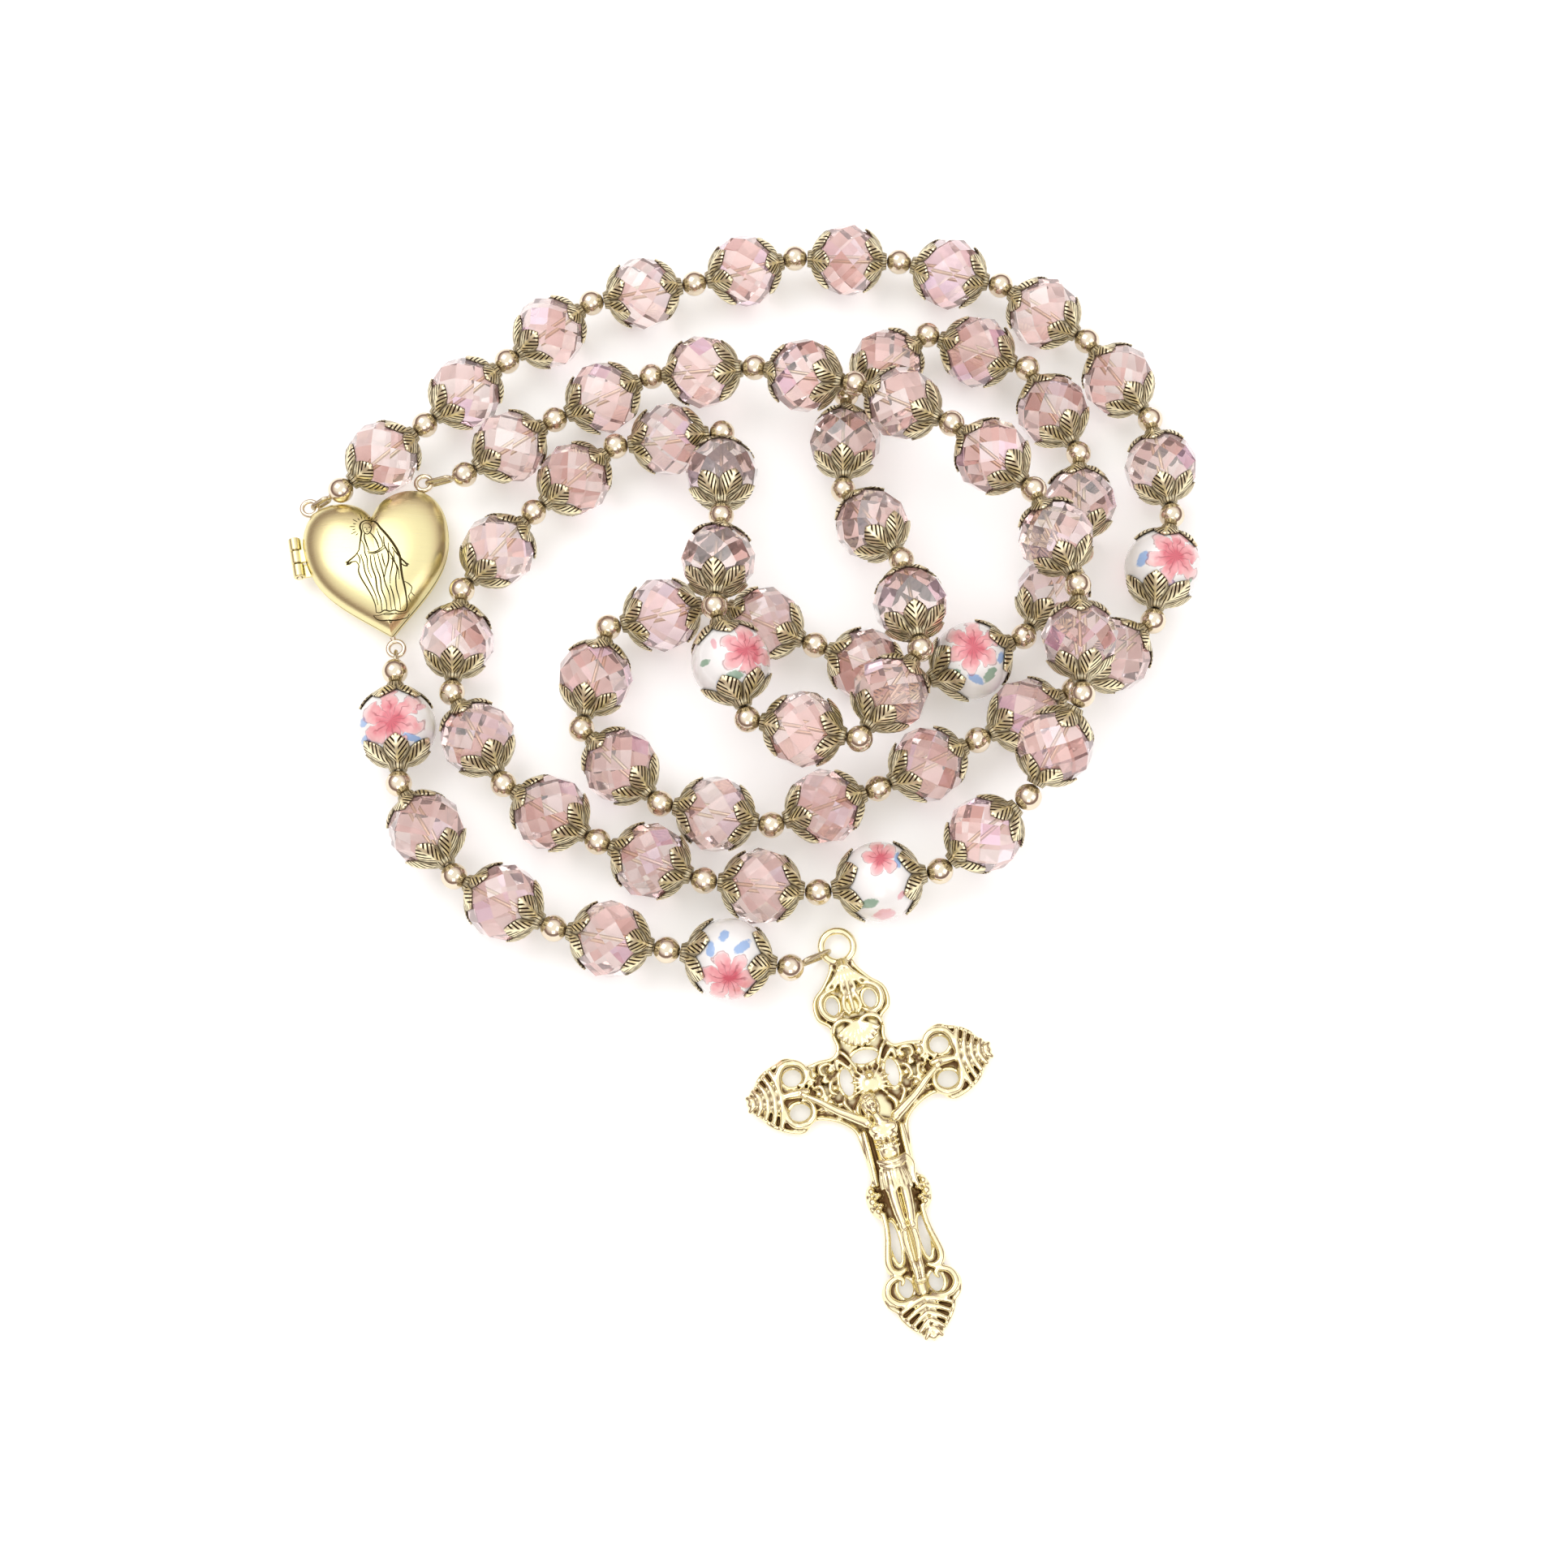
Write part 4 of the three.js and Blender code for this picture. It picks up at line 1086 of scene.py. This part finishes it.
def makeEngraving():
    surface = cover.data
    tree = BVHTree.FromPolygons([v.co for v in surface.vertices],
                                [tuple(p.vertices) for p in surface.polygons])
    lines = [(width, smoothLine([(x, y, 0) for x, y in zip(flat[::2], flat[1::2])], 5)) for width,
             *flat in engraving]
    cx, cy = rays["centre"]
    for k in range(rays["count"]):
        angle = math.radians(rays["from"] + (rays["to"] - rays["from"]) * k / (rays["count"] - 1))
        far = rays["outer"][k % 2]
        lines.append((rays["width"], [Vector((cx + r * math.cos(angle), cy + r * math.sin(angle), 0))
                                      for r in np.linspace(rays["inner"], far, 4)]))
    shells = []
    for width, line in lines:
        above = [locketFrame @ (Vector((p.x, p.y, 8.0)) * mm) for p in line]
        laid = [tree.ray_cast(p, Vector((0, 0, -1)))[0] for p in above]
        laid = [p for p in laid if p]
        shares = [min(max((i + 0.5) / len(laid), 0.06), 0.94) for i in range(len(laid))]
        radii = [groove["swell"] * width * mm * (0.55 + 0.45 * math.sin(math.pi * t)) for t in shares]
        shells.append(tubeShell(laid, radii, groove["sides"], up=(0, 0, 1), flatten=groove["flatness"]))
    made = makeObject("locketEngraving", outward(joinMeshes("locketEngraving", shells)))
    made.data.materials.append(finishes["engravingShade"])
    place(made, "locket_lid", "satin_gold")


makeEngraving()
print("engraving cut")

# The crucifix, in millimetres: x across, y up from the eye, z through the thickness.
crossEdge = [
    (1.2, -1.6), (1.5, -2.8), (2.8, -4.6), (4.0, -5.7), (4.4, -6.9), (4.2, -8.3), (3.1, -9.3), (3.0, -10.6),
    (2.8, -12.0), (3.6, -13.2), (5.4, -13.3), (7.2, -13.5), (8.2, -12.5), (9.4, -12.1), (10.4, -12.5),
    (11.6, -12.9), (12.7, -13.6), (13.4, -14.6), (14.1, -15.3), (14.6, -16.3), (14.1, -17.3), (13.4, -18.1),
    (12.6, -19.2), (11.5, -20.0), (10.2, -20.6), (9.0, -20.8), (8.0, -20.0), (7.0, -19.7), (5.0, -20.4),
    (3.2, -21.9), (2.7, -24.0), (2.45, -28.2), (3.3, -29.2), (3.6, -30.4), (3.3, -31.9), (2.4, -33.0),
    (2.5, -35.4), (3.1, -37.6), (3.2, -38.8), (2.4, -39.5), (3.6, -39.9), (4.4, -41.2), (4.1, -42.6),
    (3.3, -43.4), (3.0, -44.2), (2.5, -45.0), (1.8, -45.8), (1.0, -46.5),
]
sideOpenings = [
    (2.3, -7.0, 0.95, 1.3), (2.75, -16.3, 0.95, 1.85), (8.95, -14.35, 1.32, 1.2), (8.95, -18.55, 1.4, 1.2),
    (1.75, -35.7, 0.72, 2.7), (1.8, -41.0, 1.0, 1.3),
]
crossSizes = {"plate": 1.1, "rim": 0.3, "lip": 0.22, "voxel": 0.15, "lean": 0.8}
figureSizes = {"voxel": 0.11}


def platePart():
    data = bpy.data.curves.new("plate", "CURVE")
    data.dimensions = "2D"
    data.fill_mode = "BOTH"
    data.extrude = crossSizes["plate"] / 2
    right = smoothLine([(x, y, 0) for x, y in crossEdge], 4)
    outline = [(p.x, p.y) for p in right] + [(0, -47.2)] + [(-p.x, p.y) for p in right[::-1]]
    holes = [(0.0, -13.75, 1.75, 1.0), *sideOpenings, *[(-x, y, a, b) for x, y, a, b in sideOpenings]]
    loops = [outline] + [[(x + a * c, y + b * d) for c, d in circle(24)] for x, y, a, b in holes]
    for loop in loops:
        spline = data.splines.new("POLY")
        spline.points.add(len(loop) - 1)
        spline.use_cyclic_u = True
        for target, (x, y) in zip(spline.points, loop):
            target.co = (x, y, 0, 1)
    thing = finished(makeObject("plate", data), "plate")
    mesh = thing.data
    mesh.transform(Matrix.Translation((0, 0, crossSizes["plate"] / 2)))
    points, faces = [v.co.copy() for v in mesh.vertices], [tuple(p.vertices) for p in mesh.polygons]
    bpy.data.objects.remove(thing)
    return points, faces, loops


def crossDetails(loops):
    shells = []
    top = crossSizes["plate"]

    def tube(line, radii, sides=8, closed=False, steps=5):
        path = line if closed else smoothLine(line, steps)
        if hasattr(radii, "__len__"):
            radii = list(np.interp(np.linspace(0, 1, len(path)), np.linspace(0, 1, len(radii)), radii))
        shells.append(tubeShell(path, radii, sides, closed))

    def bothSides(line, radii):
        for side in (1, -1):
            tube([(side * x, y, z) for x, y, z in line], radii)

    def knob(x, y, z, *size):
        shells.append(roundShell(Vector((x, y, z)), size))

    ring = [(eye["radius"] / mm * x, eye["radius"] / mm * y, eye["height"] / mm) for x, y in circle(40)]
    tube(ring, 0.47, 12, closed=True)
    for i, loop in enumerate(loops):
        tube([(x, y, top) for x, y in loop], crossSizes["lip" if i else "rim"], 8, closed=True)
    tube([(0, -1.8, 1.2), (0, -3.0, 1.5)], [0.8, 1.0])
    for k in range(-3, 4):  # fan at the top
        tube([(0.1 * k, -2.3, 1.6), (0.42 * k, -3.9, 2.0), (0.88 * k, -5.9 + 0.3 * abs(k), 1.9)],
             [0.24, 0.3, 0.2])
    bothSides([(1.3, -5.2, 1.5), (2.5, -5.3, 1.8), (3.5, -6.1, 1.85), (3.65, -7.4, 1.85), (3.0, -8.5, 1.8),
               (2.0, -8.7, 1.75), (1.3, -8.2, 1.6)], [0.2, 0.3, 0.36, 0.38, 0.36, 0.3, 0.25])
    bothSides([(0.3, -5.2, 1.6), (0.75, -6.4, 1.85), (1.0, -7.6, 1.8), (0.5, -8.5, 1.7)],
              [0.2, 0.32, 0.3, 0.2])
    tube([(0, -5.4, 1.7), (0, -6.8, 1.9), (0, -8.2, 1.8)], [0.2, 0.3, 0.3])
    bothSides([(3.0, -10.4, 1.5), (2.6, -9.5, 1.85), (1.6, -9.1, 1.95), (0.5, -9.4, 1.9)],
              [0.24, 0.32, 0.32, 0.24])
    for k in range(-4, 5):  # shell under the fan
        angle = math.radians(-90 + 15.5 * k)
        a, b = 0.1, 3.0 - 0.05 * abs(k)
        tube([(a * math.cos(angle), -9.4 + a * math.sin(angle), 1.9),
              (b * 0.6 * math.cos(angle), -9.5 + b * 0.6 * math.sin(angle), 2.05),
              (b * math.cos(angle), -9.5 + b * math.sin(angle), 1.7)], [0.14, 0.3, 0.33])
    bothSides([(2.0, -14.9, 1.4), (2.9, -14.0, 1.7), (3.4, -13.6, 1.7), (3.5, -14.8, 1.6)],
              [0.2, 0.26, 0.26, 0.2])
    knob(0, -9.9, 1.45, 1.3, 0.95, 0.5)
    knob(0, -17.1, 1.3, 1.25, 1.25, 0.5)
    for k in range(15):  # rays behind the head
        angle = math.radians(-42 + 264 * k / 14)
        reach = 2.45 if k % 2 else 2.15
        tube([(1.0 * math.cos(angle), -17.1 + 1.0 * math.sin(angle), 1.6),
              (reach * math.cos(angle), -17.1 + reach * math.sin(angle), 1.35)], [0.2, 0.12], steps=3)
    knob(0, -16.2, 1.8, 0.45, 0.42, 0.35)
    for side in (-1, 1):
        for x, y, r in ((4.3, -14.5, 0.5), (6.4, -14.6, 0.5), (5.2, -15.6, 0.55), (7.0, -15.6, 0.45),
                        (4.3, -16.7, 0.45), (6.3, -17.0, 0.5), (7.3, -17.5, 0.4), (5.2, -18.2, 0.5),
                        (6.4, -18.8, 0.42), (4.2, -18.8, 0.42), (4.4, -20.0, 0.4), (3.3, -19.4, 0.35)):
            knob(side * x, y, top + 0.15, r, r * 0.85, 0.55)
        for line in ([(3.9, -14.1, 1.5), (4.6, -13.7, 1.8), (5.5, -14.0, 1.85), (5.5, -14.8, 1.8),
                      (4.9, -15.0, 1.6)],
                     [(6.0, -13.9, 1.5), (6.9, -14.1, 1.8), (7.0, -14.9, 1.8), (6.3, -15.4, 1.6)],
                     [(6.9, -16.3, 1.5), (6.0, -16.2, 1.8), (5.7, -17.2, 1.85), (6.5, -17.8, 1.7)],
                     [(3.9, -15.6, 1.6), (4.6, -16.0, 1.8), (4.9, -17.0, 1.85), (4.2, -17.6, 1.7)],
                     [(4.7, -17.4, 1.5), (5.6, -17.8, 1.8), (6.0, -18.9, 1.7), (5.2, -19.4, 1.5)],
                     [(3.4, -17.9, 1.5), (3.6, -18.9, 1.7), (3.0, -20.0, 1.6), (2.6, -21.0, 1.4)]):
            tube([(side * x, y, z) for x, y, z in line], [0.16, 0.27, 0.27, 0.16])
        for sign in (-1, 1):  # a scroll and ribs above and below the arm's middle
            middle = -16.4
            scroll = [(11.4, 0.4), (10.7, 1.1), (10.6, 2.5), (9.8, 3.6), (8.4, 3.7), (7.4, 2.9), (7.3, 1.6),
                      (7.9, 0.9), (8.5, 1.0)]
            tube([(side * x, middle + sign * y, 1.7) for x, y in scroll],
                 [0.3, 0.36, 0.4, 0.42, 0.42, 0.38, 0.32, 0.26, 0.2])
            for k in range(5):
                x, h = 10.7 + 0.82 * k, 3.5 - 0.66 * k
                tube([(side * x, middle, 1.75), (side * (x + 0.22), middle + sign * h * 0.5, 1.8),
                      (side * (x + 0.75), middle + sign * h, 1.45)], [0.36, 0.37, 0.32])
        knob(side * 14.4, -16.4, 1.4, 0.5, 0.55, 0.6)
        tube([(side * 7.4, -16.4, 1.5), (side * 8.6, -16.4, 1.75), (side * 10.4, -16.4, 1.7)],
             [0.45, 0.6, 0.4])
        tube([(side * 1.6, -18.9, 1.4), (side * 2.3, -19.9, 1.6), (side * 2.1, -21.2, 1.5)], [0.3, 0.38, 0.3])
        tube([(side * 2.7, -12.6, 1.3), (side * 2.1, -13.4, 1.6), (side * 1.3, -15.0, 1.5)], [0.3, 0.26, 0.2])
        for x, y, r in ((3.1, -29.5, 0.55), (3.2, -30.7, 0.62), (2.8, -31.9, 0.52), (2.3, -30.1, 0.4),
                        (2.3, -31.3, 0.4)):
            knob(side * x, y, 1.35, r, r, 0.8)
        bow = [(2.3, -32.2), (2.3, -33.6), (2.5, -35.2), (2.9, -36.8), (3.1, -38.0), (2.8, -38.9),
               (2.0, -39.2), (1.2, -38.9)]
        tube([(side * x, y, 1.55) for x, y in bow], [0.34, 0.38, 0.42, 0.44, 0.46, 0.42, 0.34, 0.28])
        curl = [(0.8, -42.3), (1.8, -42.7), (3.1, -42.6), (4.0, -41.6), (3.7, -40.3), (2.6, -39.7),
                (1.9, -40.1), (2.2, -40.7)]
        tube([(side * x, y, 1.6) for x, y in curl], [0.3, 0.36, 0.42, 0.44, 0.42, 0.36, 0.3, 0.2])
        tube([(side * 2.2, y, 1.4) for y in (-22.4, -24.0, -27.0, -29.0)], [0.3, 0.36, 0.36, 0.3])
        for k in range(5):  # chevrons on the foot
            y, w = -42.5 - 0.86 * k, 3.0 - 0.5 * k
            tube([(0, y, 1.8), (side * w * 0.5, y - 0.5, 1.75), (side * w, y - 1.15, 1.4)],
                 [0.35, 0.35, 0.28])
    knob(0, -46.7, 1.4, 0.62, 0.7, 0.55)
    tube([(0, -22.0, 1.2), (0, -30.0, 1.3), (0, -34.0, 1.2), (0, -42.0, 1.3)], [1.5, 1.3, 0.8, 0.7], 12)
    return shells


def castPiece(name, shells, voxel, cadName):
    work = makeObject(name, outward(joinMeshes(name, shells)))
    remesh = work.modifiers.new("cast", "REMESH")
    remesh.mode, remesh.voxel_size, remesh.use_smooth_shade = "VOXEL", voxel, True
    soften = work.modifiers.new("soften", "SMOOTH")
    soften.factor, soften.iterations = 0.45, 1
    made = finished(work, name)
    mesh = made.data
    # Painted shade in the hollows, stored as the recess attribute.
    markRecessShade(mesh, voxel)
    lean = rotation(crossSizes["lean"], "Z")
    mesh.transform(crossFrame @ lean @ Matrix.Scale(mm, 4))
    mesh.materials.clear()
    mesh.materials.append(finishes["cast"])
    print(name, len(mesh.polygons), "faces")
    return place(made, "crucifix", "cast_gold", cadName)


def markRecessShade(mesh, voxel):  # painted shade from how far each point lies below its softened surroundings
    count = len(mesh.vertices)
    co = np.empty(count * 3, np.float64)
    mesh.vertices.foreach_get("co", co)
    co = co.reshape(-1, 3)
    edges = np.empty(len(mesh.edges) * 2, np.int64)
    mesh.edges.foreach_get("vertices", edges)
    edges = edges.reshape(-1, 2)
    a, b = np.concatenate([edges[:, 0], edges[:, 1]]), np.concatenate([edges[:, 1], edges[:, 0]])
    neighbours = np.bincount(a, minlength=count)[:, None].clip(1)
    normals = np.array([v.vector[:] for v in mesh.vertex_normals])
    soft, shade = co.copy(), 0
    # Painted shade in fine recesses, then in broad ones.
    for rounds, least, gain, share in ((9, 0.08, 2.0, 0.75), (24, 0.35, 0.9, 0.55)):
        for _ in range(rounds):
            soft = np.stack([np.bincount(a, soft[b, axis], count) for axis in range(3)], 1) / neighbours
        depth = ((soft - co) * normals).sum(1) / voxel
        shade = shade + np.clip((depth - least) * gain, 0, 1) * share
    shade = np.clip(shade, 0, 1)
    shade[normals[:, 2] < -0.6] *= 0.3
    mesh.attributes.new("recess", "FLOAT", "POINT").data.foreach_set("value", shade.astype(np.float32))


platePoints, plateFaces, plateLoops = platePart()
castPiece("crucifixCross", [(platePoints, plateFaces), *crossDetails(plateLoops)], crossSizes["voxel"],
          "crucifix_cross")


def corpusShells():
    shells = []

    def tube(line, radii, sides=10, steps=5, squash=1.0):
        path = smoothLine(line, steps)
        radii = list(np.interp(np.linspace(0, 1, len(path)), np.linspace(0, 1, len(radii)), radii))
        shells.append(tubeShell(path, radii, sides, up=(0, 0, 1), flatten=squash))

    def knob(x, y, z, *size, tilt=0.0):
        shells.append(roundShell(Vector((x, y, z)), size, 14, 10, rotation(tilt, "Z")))

    head = Matrix.Translation((-0.95, -19.75, 3.45)) @ rotation(14, "Z") @ rotation(18, "X")

    def feature(x, y, z, *size):  # on the head, which leans to one side
        points, faces = roundShell(Vector((x, y, z)), size, 12, 8)
        shells.append(([head @ p for p in points], faces))

    feature(0, 0.05, 0, 0.86, 1.12, 0.88)
    feature(0, 0.45, -0.15, 1.0, 0.88, 0.85)
    for side in (-1, 1):  # hair falls beside the face
        feature(side * 0.82, -0.25, -0.1, 0.28, 0.95, 0.5)
        feature(side * 0.62, -0.95, -0.15, 0.28, 0.6, 0.42)
        feature(side * 0.3, 0.12, 0.74, 0.17, 0.07, 0.12)
        feature(side * 0.31, 0.27, 0.8, 0.2, 0.06, 0.09)
    feature(0, -0.02, 0.88, 0.1, 0.28, 0.16)
    feature(0, -0.38, 0.82, 0.24, 0.07, 0.1)
    feature(0, -0.78, 0.5, 0.42, 0.42, 0.38)
    for k in range(14):  # a plain wreath
        t = 2 * math.pi * k / 14
        feature(0.92 * math.cos(t), 0.62 + 0.08 * (k % 2), 0.9 * math.sin(t) - 0.1, 0.2, 0.16, 0.2)
    tube([(-0.7, -20.8, 3.0), (-0.35, -21.6, 2.95), (-0.1, -22.2, 2.9)], [0.5, 0.55, 0.8])
    knob(-0.05, -22.9, 2.85, 1.75, 1.35, 0.85)
    for side in (-1, 1):
        knob(side * 0.8, -22.85, 3.35, 0.82, 0.62, 0.42)
        knob(side * 1.75, -21.75, 2.85, 0.6, 0.62, 0.55)
        for k in range(3):
            knob(side * 0.38, -24.1 - 0.72 * k, 3.2, 0.33, 0.3, 0.34)
            knob(side * 1.1, -23.95 - 0.6 * k, 2.98, 0.42, 0.17, 0.36, tilt=side * 24)
        arm = [(side * 1.7, -21.7, 2.85), (side * 3.2, -20.7, 2.85), (side * 4.8, -19.6, 2.8),
               (side * 6.4, -18.2, 2.7),
               (side * 7.7, -17.2, 2.6)]
        tube(arm, [0.62, 0.55, 0.46, 0.42, 0.3])
        knob(side * 8.05, -16.95, 2.55, 0.5, 0.36, 0.28, tilt=side * 40)
        for k in range(4):
            tube([(side * 8.2, -16.9 + 0.1 * k, 2.55), (side * (8.75 - 0.06 * k), -16.85 + 0.22 * k, 2.5)],
                 [0.12, 0.09], 8, 3)
        tube([(side * 0.62, -28.6, 2.8), (side * 0.74, -30.6, 3.0), (side * 0.66, -32.6, 3.25),
              (side * 0.5, -34.0, 3.45)],
             [0.74, 0.7, 0.6, 0.52])
        knob(side * 0.52, -34.4, 3.5, 0.5, 0.56, 0.5)
        tube([(side * 0.5, -34.6, 3.25), (side * 0.62, -36.2, 2.95), (side * 0.42, -38.4, 2.7)],
             [0.42, 0.48, 0.3])
        tube([(side * 0.4, -38.3, 2.75), (side * 0.34, -39.3, 3.0), (side * 0.3, -40.4, 2.7)],
             [0.33, 0.38, 0.28])
        for k in range(4):
            knob(side * (0.14 + 0.13 * k), -40.75 + 0.05 * k, 2.75, 0.1, 0.2, 0.12)
    knob(0, -25.5, 2.75, 1.2, 1.4, 0.7)
    knob(0.05, -27.5, 2.85, 1.6, 1.1, 0.85)
    tube([(-1.6, -26.5, 3.1), (-0.6, -26.9, 3.65), (0.6, -26.85, 3.65), (1.75, -26.3, 3.1)],
         [0.26, 0.34, 0.34, 0.26])
    tube([(-1.5, -27.0, 3.1), (-0.5, -27.5, 3.6), (0.7, -27.45, 3.65), (1.75, -26.8, 3.1)],
         [0.2, 0.26, 0.26, 0.2])
    for k in range(-4, 5):  # folds of the loincloth
        low = -29.9 - 0.35 * (k % 2) + 0.05 * abs(k)
        tube([(0.36 * k, -27.4, 3.45 - 0.05 * k * k), (0.42 * k + 0.05, -28.6, 3.6 - 0.05 * k * k),
              (0.47 * k + 0.12, low, 3.55 - 0.055 * k * k)], [0.2, 0.26, 0.24])
    tube([(1.75, -26.5, 3.0), (2.2, -27.4, 2.9), (2.05, -28.7, 2.7), (2.3, -30.1, 2.5)],
         [0.36, 0.42, 0.38, 0.22])
    tube([(1.6, -26.8, 3.1), (1.85, -28.0, 3.0), (1.7, -29.4, 2.8)], [0.26, 0.3, 0.2])
    knob(0, -40.6, 2.2, 0.75, 0.5, 0.35)
    return shells


castPiece("crucifixFigure", corpusShells(), figureSizes["voxel"], "crucifix_corpus")
print("crucifix cast")

# Floor and light.
studio = {
    "floor": 5.0, "thick": 0.02, "below": 0.02 * mm, "backdrop": (0.95, 0.95, 0.95), "strength": 1.15,
    "sky": [(0.0, (0.36, 0.28, 0.27)), (0.3, (0.22, 0.15, 0.14)), (0.55, (0.72, 0.62, 0.61)),
            (0.8, (1.0, 1.0, 1.0)), (1.0, (1.0, 1.0, 1.0))],
    "lamps": {"key": ((-0.35, 0.25, 0.75), 0.55, 1.5), "fill": ((0.55, -0.25, 0.6), 0.5, 0.7),
              "front": ((0.0, -0.6, 0.5), 0.35, 0.5)},  # place, size and watts
}


def makeStudio():
    half, top = studio["floor"], -studio["below"]
    corners = [(x * half, y * half, z) for z in (top - studio["thick"], top) for y in (-1, 1) for x in (-1,
            1)]
    floor = makeObject("floor", meshFrom("floor", corners, boxFaces, smooth=False))
    floor.data.materials.append(startMaterial("paleFloor", Base_Color=(0.97, 0.97, 0.97, 1), Roughness=0.7,
                                              Emission_Color=(1, 1, 1, 1), Emission_Strength=0.2)[0])
    world = bpy.data.worlds.new("studio")
    scene.world = world
    world.use_nodes = True
    tree = world.node_tree
    height = axes(tree, output(tree, "ShaderNodeTexCoord", "Generated"))[2]
    seen = output(tree, "ShaderNodeLightPath", "Is Camera Ray")
    feed(tree.nodes["Background"], Strength=studio["strength"],
         Color=mixColour(tree, seen, ramp(tree, height, studio["sky"]), studio["backdrop"]))
    for name, (spot, size, power) in studio["lamps"].items():
        data = bpy.data.lights.new(name, "AREA")
        data.shape, data.size, data.energy = "SQUARE", size, power
        lamp = bpy.data.objects.new(name, data)
        scene.collection.objects.link(lamp)
        lamp.location = spot
        lamp.rotation_euler = (Vector() - Vector(spot)).to_track_quat("-Z", "Y").to_euler()


makeStudio()
for shape in shapes.values():
    bpy.data.objects.remove(shape)
